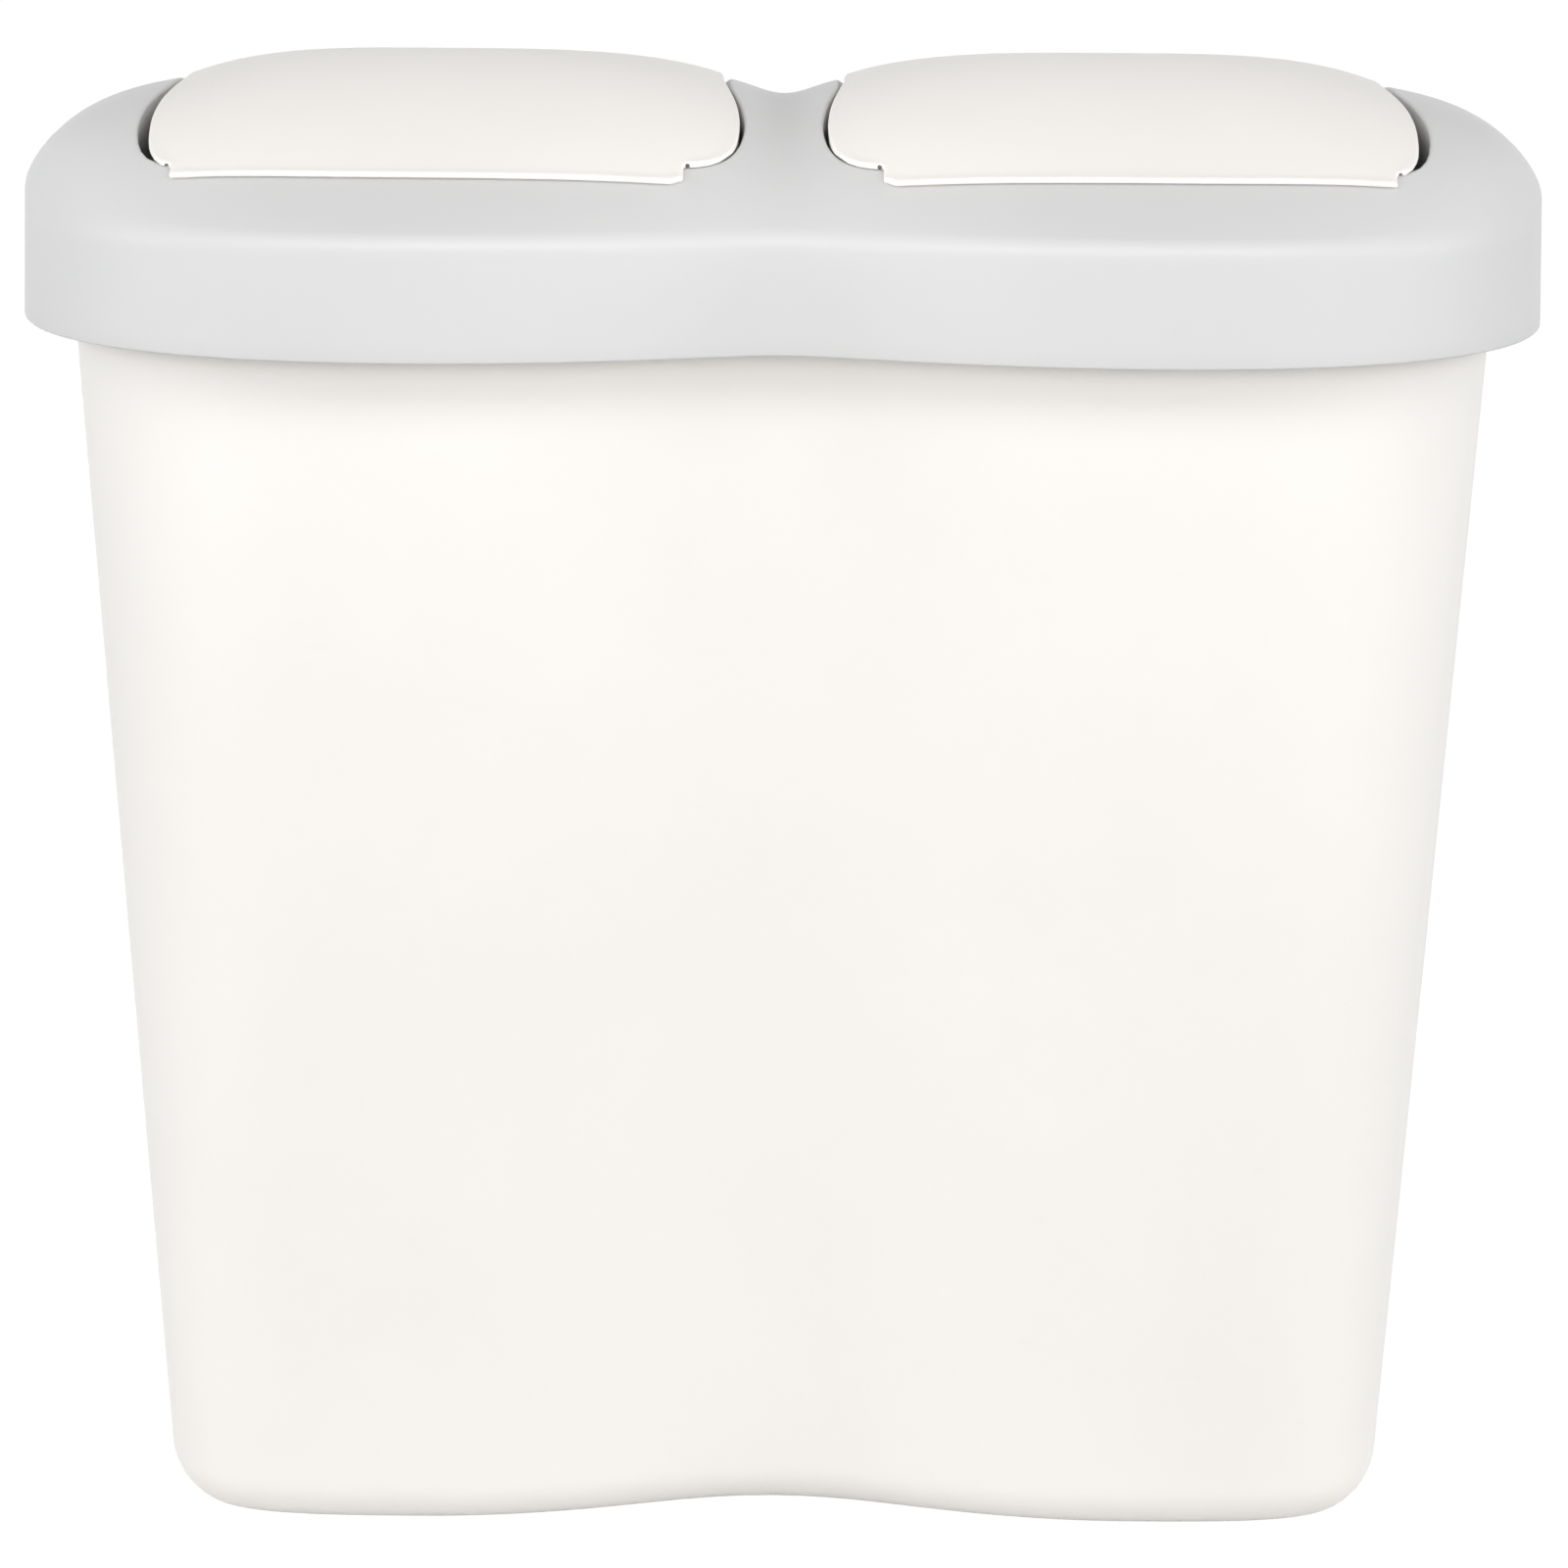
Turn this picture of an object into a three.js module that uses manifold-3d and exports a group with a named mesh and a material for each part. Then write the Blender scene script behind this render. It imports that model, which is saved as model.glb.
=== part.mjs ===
// A double recycling bin. One tapered body, figure-of-eight in plan, holds two lift-out buckets with
// carrying bails. A lift-off lid sits on the body's rolled rim, and each of its two openings has a
// domed flap that tilts on a pair of pins: lifting the flap's front lip dips its rear into the bin.
// Millimetres, +Z up, the front looks along -Y. The origin is the middle of the underside.
import * as THREE from "three";
import { mergeVertices } from "three/addons/utils/BufferGeometryUtils.js";
import Module from "manifold-3d";

const wasm = await Module();
wasm.setup();

// ---- Driving dimensions ----

// Plan of the lid. Body and buckets follow it, inset.
const lidWidth = 530;
const lidDepth = 292;
const lobeSpacing = 250; // between the centres of the two lobes
const waistDepth = 241; // front to back between the lobes
const waistSoftness = 15; // rounds the inward crease of the waist
const lobeSquareness = 2.3; // exponent of the superellipse of a lobe's outer half
const footSquareness = 3; // the same for the body at the ground

// Lid
const skirtDrop = 33; // of the skirt's lower edge below the body's rim
const shoulderRise = 8; // of the dome's edge above the body's rim
const crownRise = 42; // how far the dome climbs above its edge over a lobe
const domeSquareness = 1.9; // exponent of the dome's section from front to back over a lobe
const narrowSquareness = 3.7; // and where the lid narrows to nothing
const endFullness = 1.05; // how soon the dome climbs from the ends of the lid
const waistFullness = 1.3; // and from the waist
const valleyDepth = 5.4; // soft groove across the dome at the waist
const valleyHalfWidth = 14;
const skirtDraft = 0.8;
const shoulderInset = 6.5; // how far in from the lid's outline the rounded shoulder reaches
const lidWall = 2.2;
const seatRibWall = 2; // the rib under the lid that stands on the body's rim
const seatRibStep = 2.5; // rib to the rounded edge of the rim

// Openings and flaps
const bridgeWidth = 28.2; // of the lid between the two openings
const openingEndMargin = 44.1; // opening to the end of the lid
const openingFrontMargin = 48; // opening to the lid's front and back over a lobe
const openingSquareness = 5;
const flangeWall = 2;
const flangeBelowPin = 12;
const flapGap = 2.6; // between a flap and the edge of its opening
const flapWall = 2;
const flapWebDepth = 9;
const flapEdgeProud = 1.2; // flap above the dome of the lid at its sides
const flapCrownProud = 6.2; // and what is added to that in the middle
const flapSquareness = 2.5; // exponent of that addition from side to side
const lipEndInset = 15.3; // the lip ends this far in from the flap's widest
const lipReach = 6; // lip past the front edge of the opening
const lipThickness = 4.4;
const lipOverlap = 4; // how far the lip runs back into the flap
const lipGap = 0.6; // between the lip and the lid that it rests on

// Hinge pins
const pinY = 30;
const pinRise = 18; // of the pins above the dome's edge
const pinRadius = 3;
const pinHeadRadius = 5;
const pinHeadThickness = 1.6;
const fitGap = 0.3; // clearance between pieces that touch on the real bin
const cutMargin = 1; // how far a cut starts outside what it cuts
const earThickness = 3; // of the lid's bosses and of the flap's ears
const earHalfWidth = 8;

// Body
const rimTop = 452; // height of the body
const rimPlay = 1.4; // between the rim's outer edge and the inside of the skirt
const rimThickness = 2.4;
const rimTurnDown = 9;
const bodyTopInset = 17.5; // body's side at the skirt's lower edge, in from the lid's outline
const bodyFootInset = 49; // and at the ground
const bodyWall = 2.4;
const floorThickness = 2.6;
const footRadius = 16;

// Buckets
const bucketDrop = 22; // of the buckets' rims below the body's rim
const bucketWall = 1.8;
const bucketFloor = 2;
const bucketGap = 1.6; // bucket rim to body
const bucketRimWidth = 3.6;
const bucketRimDepth = 5;
const bucketRimBevel = 1; // of the rim's underside
const bucketFootRadius = 14;
const lugThickness = 3.2;
const lugHalfWidth = 8;
const lugAbovePivot = 6;

// Bails
const bailWireRadius = 2;
const bailStub = 3; // what of the wire stands out of a lug
const bailLugGap = 1; // between a lug and the wire's bend
const bailBendRadius = 6;
const gripRadius = 7;
const gripLength = 90;
const gripBoreRadius = 3.3;

// Fineness of the curved surfaces
const quarterSteps = 9; // points round a quarter of a lobe
const domeStrips = 12;
const flapSteps = 8;
const flapStrips = 8;
const lipRows = 3;
const bucketSteps = 10;
const roundSides = 20;
const filletSteps = 3;
const bendSteps = 3;
const bailSteps = 8;
const wireSides = 8;

// ---- Sizes worked out from the driving dimensions ----

const skirtBottom = rimTop - skirtDrop;
const shoulderHeight = rimTop + shoulderRise;
const pinZ = shoulderHeight + pinRise;
const flangeBottom = pinZ - flangeBelowPin;
const bucketTop = rimTop - bucketDrop;
const rimInset = lidWall + rimPlay;
const seatRibInset = rimInset + rimThickness + seatRibStep;
const openingHalfWidth = (lidWidth / 2 - openingEndMargin - bridgeWidth / 2) / 2;
const openingHalfDepth = lidDepth / 2 - openingFrontMargin;
const openingCentre = bridgeWidth / 2 + openingHalfWidth;
const lobeX = lobeSpacing / 2;
const lobeHalfWidth = (lidWidth - lobeSpacing) / 2;
const lobeHalfDepth = lidDepth / 2;
const pivotGap = fitGap + pinRadius; // radius of a bore for a pin
const flapHalfWidth = openingHalfWidth - flapGap;
const flapHalfDepth = openingHalfDepth - flapGap;
const lipHalfWidth = flapHalfWidth - lipEndInset;
const bailPivotZ = bucketTop + gripRadius + fitGap;

// ---- Plans: closed outlines, anticlockwise from the left end, alike at front and back ----

// Half the depth of the lid at x, rounded over at the waist
function halfDepthAt(x) {
  const distance = Math.abs(x);
  if (distance >= lobeX) {
    const share = Math.min(1, (distance - lobeX) / lobeHalfWidth);
    return lobeHalfDepth * Math.pow(1 - Math.pow(share, lobeSquareness), 1 / lobeSquareness);
  }
  const softened = (s) => Math.sqrt((s * s + waistSoftness ** 2) / (lobeX ** 2 + waistSoftness ** 2));
  const crease = (lobeHalfDepth - waistDepth / 2) / (1 - softened(0)) ** 2;
  return lobeHalfDepth - crease * (1 - softened(distance)) ** 2;
}

// Front points of a symmetrical outline, from left to right, closed by the same points at the back
function closeOutline(front) {
  const back = front.slice(1, -1).reverse().map((p) => new THREE.Vector2(p.x, -p.y));
  return [...front, ...back];
}

function superellipse(halfWidth, halfDepth, exponent, steps) {
  const front = [];
  for (let i = 0; i <= 2 * steps; i++) {
    const angle = Math.PI * (1 - i / (2 * steps));
    const c = Math.cos(angle);
    const s = Math.sin(angle);
    const x = Math.sign(c) * Math.pow(Math.abs(c), 2 / exponent) * halfWidth;
    front.push(new THREE.Vector2(x, i % (2 * steps) ? -Math.pow(s, 2 / exponent) * halfDepth : 0));
  }
  return closeOutline(front);
}

// The two-lobed outline at the size of the lid, with lobes of a given squareness
function lobedOutline(squareness) {
  const right = [];
  for (let i = 0; i <= quarterSteps; i++) {
    const x = lobeX * (i / quarterSteps);
    right.push(new THREE.Vector2(x, -halfDepthAt(x)));
  }
  for (let i = 1; i <= quarterSteps; i++) {
    const angle = (Math.PI / 2) * (1 - i / quarterSteps);
    const x = lobeX + lobeHalfWidth * Math.pow(Math.cos(angle), 2 / squareness);
    const y = lobeHalfDepth * Math.pow(Math.max(0, Math.sin(angle)), 2 / squareness);
    right.push(new THREE.Vector2(x, i < quarterSteps ? -y : 0));
  }
  const left = right.slice(1).reverse().map((p) => new THREE.Vector2(-p.x, p.y));
  return closeOutline([...left, ...right]);
}

const lidOutline = lobedOutline(lobeSquareness);

// The outline moved inwards by the same distance all round
function inset(outline, distance) {
  const count = outline.length;
  return outline.map((point, i) => {
    const along = outline[(i + 1) % count].clone().sub(outline[(i + count - 1) % count]).normalize();
    return new THREE.Vector2(point.x - along.y * distance, point.y + along.x * distance);
  });
}

function shifted(outline, x, y = 0) {
  return outline.map((p) => new THREE.Vector2(p.x + x, p.y + y));
}

// Height of the lid's dome above the ground
function domeHeight(x, y) {
  const reach = Math.max(halfDepthAt(x) - shoulderInset, 1e-3);
  const share = Math.min(1, Math.abs(y) / reach);
  const width = Math.min(1, reach / (lobeHalfDepth - shoulderInset));
  const climb = 1 - Math.pow(1 - width, Math.abs(x) > lobeX ? endFullness : waistFullness);
  const squareness = narrowSquareness + (domeSquareness - narrowSquareness) * width ** 3;
  const valley = valleyDepth * Math.exp(-((x / valleyHalfWidth) ** 2)) * (1 - share ** 2);
  return shoulderHeight + crownRise * climb * (1 - Math.pow(share, squareness)) - valley;
}

// Height of a flap's outside, which stands proud of the dome and more so in the middle
function flapHeight(side, x, y) {
  const across = Math.min(1, Math.abs(x - side * openingCentre) / flapHalfWidth);
  const along = Math.min(1, Math.abs(y) / (openingHalfDepth + lipReach));
  const proud = flapEdgeProud + flapCrownProud * (1 - Math.pow(across, flapSquareness)) * (1 - along ** 2);
  return domeHeight(x, y) + proud;
}

// ---- Solids ----

function raise(outline, height) {
  return outline.map((p) => {
    const z = typeof height === "function" ? height(p.x, p.y) : height;
    return new THREE.Vector3(p.x, p.y, z);
  });
}

// One closed body through a row of rings, the first and last closed by strips from front to back.
// A height function shapes such an end into a dome, and without one it is flat.
function throughRings(rings, { floor = null, roof = null, strips = 1 } = {}) {
  const points = rings.flat().map((p) => p.clone());
  const faces = [];
  const count = rings[0].length;
  for (let r = 0; r + 1 < rings.length; r++) {
    for (let i = 0; i < count; i++) {
      const a = r * count + i;
      const b = r * count + ((i + 1) % count);
      faces.push([a, b, b + count], [a, b + count, a + count]);
    }
  }
  const close = (start, height, facesUp) => {
    const half = count / 2;
    const number = height ? strips : 1;
    const columns = [];
    for (let i = 0; i <= half; i++) {
      const front = start + i;
      const back = start + ((count - i) % count);
      if (front === back) {
        columns.push(Array(number + 1).fill(front));
        continue;
      }
      const column = [front];
      for (let j = 1; j < number; j++) {
        const point = points[front].clone().lerp(points[back], j / number);
        point.z = height(point.x, point.y);
        column.push(points.push(point) - 1);
      }
      columns.push([...column, back]);
    }
    for (let i = 0; i < half; i++) {
      for (let j = 0; j < number; j++) {
        const [a, b] = [columns[i][j], columns[i + 1][j]];
        const [c, d] = [columns[i + 1][j + 1], columns[i][j + 1]];
        for (const face of [[a, b, c], [a, c, d]]) {
          if (new Set(face).size === 3) faces.push(facesUp ? face : face.reverse());
        }
      }
    }
  };
  close(0, floor, false);
  close((rings.length - 1) * count, roof, true);
  return solid(indexed(points, faces));
}

function indexed(points, faces) {
  const geometry = new THREE.BufferGeometry().setFromPoints(points);
  geometry.setIndex(faces.flat());
  return geometry;
}

// A closed mesh as a solid that can be joined and cut
function solid(geometry) {
  const bare = geometry.clone();
  bare.deleteAttribute("normal");
  bare.deleteAttribute("uv");
  const merged = mergeVertices(bare, 1e-4);
  return new wasm.Manifold(
    new wasm.Mesh({
      numProp: 3,
      vertProperties: new Float32Array(merged.attributes.position.array),
      triVerts: new Uint32Array(merged.index.array),
    }),
  );
}

function geometryOf(manifold) {
  const mesh = manifold.getMesh();
  const geometry = new THREE.BufferGeometry();
  geometry.setAttribute("position", new THREE.BufferAttribute(new Float32Array(mesh.vertProperties), 3));
  geometry.setIndex(new THREE.BufferAttribute(new Uint32Array(mesh.triVerts), 1));
  return geometry;
}

function prism(outline, bottom, top) {
  return throughRings([raise(outline, bottom), raise(outline, top)]);
}

function box(min, max) {
  const size = new THREE.Vector3().subVectors(max, min);
  const geometry = new THREE.BoxGeometry(size.x, size.y, size.z);
  geometry.translate(...new THREE.Vector3().addVectors(min, max).multiplyScalar(0.5));
  return solid(geometry);
}

// A round bar along X from one x to another
function barAlongX(from, to, radius, y, z, sides = roundSides) {
  const geometry = new THREE.CylinderGeometry(radius, radius, Math.abs(to - from), sides);
  geometry.rotateZ(Math.PI / 2);
  geometry.translate((from + to) / 2, y, z);
  return solid(geometry);
}

// A plate across X with a round lower end about a pin, up to a flat top
function earPlate(from, to, halfWidth, y, z, top) {
  const [low, high] = [Math.min(from, to), Math.max(from, to)];
  const upper = box(new THREE.Vector3(low, y - halfWidth, z), new THREE.Vector3(high, y + halfWidth, top));
  return upper.add(barAlongX(low, high, halfWidth, y, z));
}

// ---- Lid: skirt, rounded shoulder and dome in one skin, with a flange round each opening ----

// The outside of the lid moved inwards by a wall, from a height of the skirt's edge upwards
function lidBlock(wall, bottom) {
  const skirt = inset(lidOutline, wall);
  const skirtTop = inset(lidOutline, wall + skirtDraft);
  const shoulder = inset(lidOutline, wall + shoulderInset);
  const beyond = inset(lidOutline, wall + shoulderInset + 1);
  const height = (x, y) => domeHeight(x, y) - wall;
  const end = shoulder.map((p) => height(p.x, p.y));
  const span = shoulderInset - skirtDraft;
  const corner = shoulder.map((p, i) => end[i] - span * (height(beyond[i].x, beyond[i].y) - end[i]));
  const rings = [raise(skirt, bottom)];
  for (let step = 0; step < filletSteps; step++) {
    const t = step / filletSteps;
    rings.push(skirtTop.map((p, i) => {
      const xy = p.clone().multiplyScalar(1 - t * t).addScaledVector(shoulder[i], t * t);
      const z = (1 - t) ** 2 * (corner[i] - span) + 2 * t * (1 - t) * corner[i] + t * t * end[i];
      return new THREE.Vector3(xy.x, xy.y, z);
    }));
  }
  rings.push(raise(shoulder, height));
  return throughRings(rings, { roof: height, strips: domeStrips });
}

function lidRing() {
  const outside = lidBlock(0, skirtBottom);
  const inside = lidBlock(lidWall, skirtBottom - cutMargin);
  const ceiling = lidBlock(lidWall / 2, skirtBottom);
  let lid = outside.subtract(inside);
  const above = shoulderHeight + 2 * crownRise;

  const ribOutside = prism(inset(lidOutline, seatRibInset), rimTop + fitGap, above);
  const ribInside = prism(inset(lidOutline, seatRibInset + seatRibWall), rimTop, above + cutMargin);
  lid = lid.add(ribOutside.subtract(ribInside).intersect(ceiling));

  for (const side of [-1, 1]) {
    const centre = side * openingCentre;
    const opening = (more) => {
      const [halfWidth, halfDepth] = [openingHalfWidth + more, openingHalfDepth + more];
      return shifted(superellipse(halfWidth, halfDepth, openingSquareness, flapSteps), centre);
    };
    let collar = prism(opening(flangeWall), flangeBottom, above);
    for (const hand of [-1, 1]) {
      const face = centre + hand * openingHalfWidth;
      const outer = face + hand * (flangeWall + earThickness);
      collar = collar.add(earPlate(face, outer, earHalfWidth, pinY, pinZ, above));
    }
    lid = lid.add(collar.intersect(ceiling));
    lid = lid.subtract(prism(opening(0), skirtBottom, above));
    const boreReach = openingHalfWidth + flangeWall + earThickness + cutMargin;
    lid = lid.subtract(barAlongX(centre - boreReach, centre + boreReach, pivotGap, pinY, pinZ));
  }
  return lid;
}

// ---- Flap: a thin dome with a turned-down web, a front lip and an ear at each pin ----

function flap(side) {
  const centre = side * openingCentre;
  const height = (x, y) => flapHeight(side, x, y);
  const plan = (less) =>
    shifted(superellipse(flapHalfWidth - less, flapHalfDepth - less, openingSquareness, flapSteps), centre);
  const slab = (less, down, up) => {
    const lower = (x, y) => height(x, y) - down;
    const upper = (x, y) => height(x, y) - up;
    return throughRings([raise(plan(less), lower), raise(plan(less), upper)],
      { floor: lower, roof: upper, strips: flapStrips });
  };
  const outside = slab(0, flapWebDepth, 0);
  let shell = outside.subtract(slab(flapWall, flapWebDepth + cutMargin, flapWall));

  const front = -(openingHalfDepth + lipReach);
  const rear = -flapHalfDepth + lipOverlap;
  const lipPlan = [];
  for (let i = 0; i <= flapSteps; i++) {
    const x = centre + lipHalfWidth * (2 * (i / flapSteps) - 1);
    lipPlan.push(new THREE.Vector2(x, front));
  }
  shell = shell.add(lip(lipPlan, rear, height));

  for (const hand of [-1, 1]) {
    const face = centre + hand * flapHalfWidth;
    const ear = earPlate(face, face - hand * earThickness, earHalfWidth, pinY, pinZ, pinZ + 2 * crownRise);
    const skin = slab(0, 3 * crownRise, flapWall / 2);
    shell = shell.add(ear.intersect(skin));
    const boreEnd = face - hand * (earThickness + cutMargin);
    shell = shell.subtract(barAlongX(face + hand * cutMargin, boreEnd, pivotGap, pinY, pinZ));
  }
  return shell;
}

// The lip lies on the lid in front of the opening and runs back into the flap
function lip(frontPoints, rear, height) {
  const above = (x, y) => Math.max(height(x, y), domeHeight(x, y) + lipThickness);
  const below = (x, y) => domeHeight(x, y) + lipGap;
  const points = [];
  const faces = [];
  const count = frontPoints.length;
  for (const level of [below, above]) {
    for (let row = 0; row <= lipRows; row++) {
      for (const p of frontPoints) {
        const y = p.y + (rear - p.y) * (row / lipRows);
        points.push(new THREE.Vector3(p.x, y, level(p.x, y)));
      }
    }
  }
  const layer = (lipRows + 1) * count;
  const quad = (a, b, c, d) => faces.push([a, b, c], [a, c, d]);
  for (let row = 0; row < lipRows; row++) {
    for (let i = 0; i + 1 < count; i++) {
      const a = row * count + i;
      quad(layer + a, layer + a + 1, layer + a + count + 1, layer + a + count);
      quad(a, a + count, a + count + 1, a + 1);
    }
  }
  for (let i = 0; i + 1 < count; i++) {
    const b = lipRows * count + i;
    quad(i, i + 1, layer + i + 1, layer + i);
    quad(b + 1, b, layer + b, layer + b + 1);
  }
  for (let row = 0; row < lipRows; row++) {
    const left = row * count;
    const right = left + count - 1;
    quad(left + count, left, layer + left, layer + left + count);
    quad(right, right + count, layer + right + count, layer + right);
  }
  return solid(indexed(points, faces));
}

// A headed pin that runs in the lid's boss and is held in the flap's ear
function hingePin(side, hand) {
  const face = side * openingCentre + hand * openingHalfWidth;
  const head = face + hand * (flangeWall + earThickness + fitGap);
  const tip = side * openingCentre + hand * (flapHalfWidth - earThickness);
  return barAlongX(head, tip, pinRadius, pinY, pinZ)
    .add(barAlongX(head, head + hand * pinHeadThickness, pinHeadRadius, pinY, pinZ));
}

// ---- Body: one tapered shell with a rolled rim ----

// How far the body's outside lies in from the lid's outline at a height
function bodyInset(z) {
  return bodyFootInset - (bodyFootInset - bodyTopInset) * (z / skirtBottom);
}

function bodySquareness(z) {
  return footSquareness - (footSquareness - lobeSquareness) * Math.min(1, z / skirtBottom);
}

function bodyShell() {
  const profile = [];
  for (let step = 0; step <= filletSteps; step++) {
    const angle = (Math.PI / 2) * (step / filletSteps);
    const z = footRadius * (1 - Math.cos(angle));
    profile.push([bodyInset(z) + footRadius * (1 - Math.sin(angle)), z]);
  }
  const underRim = rimTop - rimThickness;
  profile.push([bodyInset(underRim), underRim]);
  profile.push([rimInset + rimThickness, underRim]);
  profile.push([rimInset + rimThickness, rimTop - rimTurnDown]);
  profile.push([rimInset, rimTop - rimTurnDown]);
  profile.push([rimInset, underRim]);
  profile.push([rimInset + rimThickness, rimTop]);
  profile.push([bodyInset(rimTop) + bodyWall, rimTop]);
  const innerRadius = footRadius - bodyWall;
  for (let step = filletSteps; step >= 0; step--) {
    const angle = (Math.PI / 2) * (step / filletSteps);
    const z = floorThickness + innerRadius * (1 - Math.cos(angle));
    profile.push([bodyInset(z) + bodyWall + innerRadius * (1 - Math.sin(angle)), z]);
  }
  return throughRings(profile.map(([distance, z]) =>
    raise(inset(lobedOutline(bodySquareness(z)), distance), z)));
}

// ---- Buckets: one tapered pail in each lobe ----

const bucketFoot = floorThickness + fitGap;

// Half width and half depth of a bucket's outside at a height, in from the inside of the body
function bucketPlan(z, less) {
  const away = bodyInset(z) + bodyWall + bucketGap + less;
  return superellipse(lobeHalfWidth - away, lobeHalfDepth - away, bodySquareness(z), bucketSteps);
}

function bucket(side) {
  const profile = [];
  for (let step = 0; step <= filletSteps; step++) {
    const angle = (Math.PI / 2) * (step / filletSteps);
    const z = bucketFoot + bucketFootRadius * (1 - Math.cos(angle));
    profile.push([bucketRimWidth + bucketFootRadius * (1 - Math.sin(angle)), z]);
  }
  profile.push([bucketRimWidth, bucketTop - bucketRimDepth]);
  profile.push([0, bucketTop - bucketRimDepth + bucketRimBevel]);
  profile.push([0, bucketTop]);
  profile.push([bucketRimWidth + bucketWall, bucketTop]);
  const innerRadius = bucketFootRadius - bucketWall;
  for (let step = filletSteps; step >= 0; step--) {
    const angle = (Math.PI / 2) * (step / filletSteps);
    const z = bucketFoot + bucketFloor + innerRadius * (1 - Math.cos(angle));
    profile.push([bucketRimWidth + bucketWall + innerRadius * (1 - Math.sin(angle)), z]);
  }
  let pail = throughRings(profile.map(([less, z]) => raise(shifted(bucketPlan(z, less), side * lobeX), z)));
  for (const hand of [-1, 1]) {
    const face = lugFace(side, hand);
    const outer = face + hand * lugThickness;
    const [bottom, top] = [bucketTop - bucketRimDepth / 2, bailPivotZ + lugAbovePivot];
    pail = pail.add(box(
      new THREE.Vector3(Math.min(face, outer), -lugHalfWidth, bottom),
      new THREE.Vector3(Math.max(face, outer), lugHalfWidth, top),
    ));
    const [boreFrom, boreTo] = [face - hand * cutMargin, outer + hand * cutMargin];
    pail = pail.subtract(barAlongX(boreFrom, boreTo, bailWireRadius + fitGap, 0, bailPivotZ));
  }
  return pail;
}

// Inside of a bucket's wall at its rim, in from the lid's outline
const mouthInset = bodyInset(bucketTop) + bodyWall + bucketGap + bucketRimWidth + bucketWall;

// Inner face of a bucket's lug, in line with the inside of its wall
function lugFace(side, hand) {
  return side * lobeX + hand * (lobeHalfWidth - mouthInset);
}

// ---- Bails: a bent wire through both lugs, with a grip tube, folded forward over the bucket ----

// The grip lies where its ends reach the inner edge of the bucket's rim
const gripShare = gripLength / 2 / (lobeHalfWidth - mouthInset);
const mouthShare = Math.pow(1 - Math.pow(gripShare, lobeSquareness), 1 / lobeSquareness);
const bailReach = (lobeHalfDepth - mouthInset) * mouthShare;

// A quarter of an ellipse about a centre, from its end on x to its end on y, the first point left out
function quarterBend(centreX, centreY, reachX, reachY, steps) {
  const points = [];
  for (let i = 1; i <= steps; i++) {
    const angle = (Math.PI / 2) * (i / steps);
    points.push(new THREE.Vector2(centreX + reachX * Math.cos(angle), centreY + reachY * Math.sin(angle)));
  }
  return points;
}

// Half of the bail, from the stub outside the left lug to the middle of the grip
function bailHalfPath(side) {
  const lug = lugFace(side, -1);
  const middle = (lug + lugFace(side, 1)) / 2;
  const arm = lug + bailLugGap + bailBendRadius;
  const straight = middle - gripLength / 2 - bailLugGap;
  const bendEnd = quarterBend(lug + bailLugGap, -bailBendRadius, bailBendRadius, bailBendRadius, bendSteps);
  const stubEnd = new THREE.Vector2(lug - lugThickness - bailStub, 0);
  const start = [stubEnd, new THREE.Vector2(lug + bailLugGap, 0)];
  const bend = [...bendEnd.reverse().slice(1), new THREE.Vector2(arm, -bailBendRadius)];
  const reachX = straight - arm;
  const sweep = quarterBend(straight, -bailBendRadius, -reachX, -(bailReach - bailBendRadius), bailSteps);
  return { middle, points: [...start, ...bend, ...sweep] };
}

function bail(side) {
  const { middle, points } = bailHalfPath(side);
  const mirrored = points.map((p) => new THREE.Vector2(2 * middle - p.x, p.y)).reverse();
  return wireAlong([...points, ...mirrored], bailWireRadius, bailPivotZ);
}

// A round wire along points of a level path
function wireAlong(path, radius, z) {
  const rings = path.map((point, i) => {
    const before = path[Math.max(0, i - 1)];
    const after = path[Math.min(path.length - 1, i + 1)];
    const along = after.clone().sub(before).normalize();
    const ring = [];
    for (let k = 0; k < wireSides; k++) {
      const angle = (2 * Math.PI * k) / wireSides;
      const across = radius * Math.cos(angle);
      ring.push(new THREE.Vector3(point.x - along.y * across, point.y + along.x * across,
        z + radius * Math.sin(angle)));
    }
    return ring;
  });
  return throughRings(rings);
}

function bailGrip(side) {
  const centre = (lugFace(side, -1) + lugFace(side, 1)) / 2;
  const [from, to] = [centre - gripLength / 2, centre + gripLength / 2];
  return barAlongX(from, to, gripRadius, -bailReach, bailPivotZ)
    .subtract(barAlongX(from - cutMargin, to + cutMargin, gripBoreRadius, -bailReach, bailPivotZ));
}

// ---- Colours and the assembly ----

const cream = { color: 0xfaf7f3, roughness: 0.45, metalness: 0 };
const paleGrey = { color: 0xd9dad9, roughness: 0.42, metalness: 0 };
const midGrey = { color: 0xa9acad, roughness: 0.5, metalness: 0 };
const darkGrey = { color: 0x55585a, roughness: 0.55, metalness: 0 };
const wire = { color: 0xc4c6c8, roughness: 0.3, metalness: 1 };

const bin = new THREE.Group();

function add(name, manifold, finish) {
  const mesh = new THREE.Mesh(geometryOf(manifold), new THREE.MeshStandardMaterial(finish));
  mesh.name = name;
  bin.add(mesh);
}

add("body_shell", bodyShell(), cream);
add("lid_ring", lidRing(), paleGrey);
for (const [side, word] of [[-1, "left"], [1, "right"]]) {
  add(`flap_${word}`, flap(side), cream);
  add(`hinge_pin_${word}_outer`, hingePin(side, side), paleGrey);
  add(`hinge_pin_${word}_inner`, hingePin(side, -side), paleGrey);
  add(`bucket_${word}`, bucket(side), midGrey);
  add(`bail_${word}`, bail(side), wire);
  add(`bail_grip_${word}`, bailGrip(side), darkGrey);
}

export default bin;
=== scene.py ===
"""The double recycling bin, dressed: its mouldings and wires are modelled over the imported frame."""

import math

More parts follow.
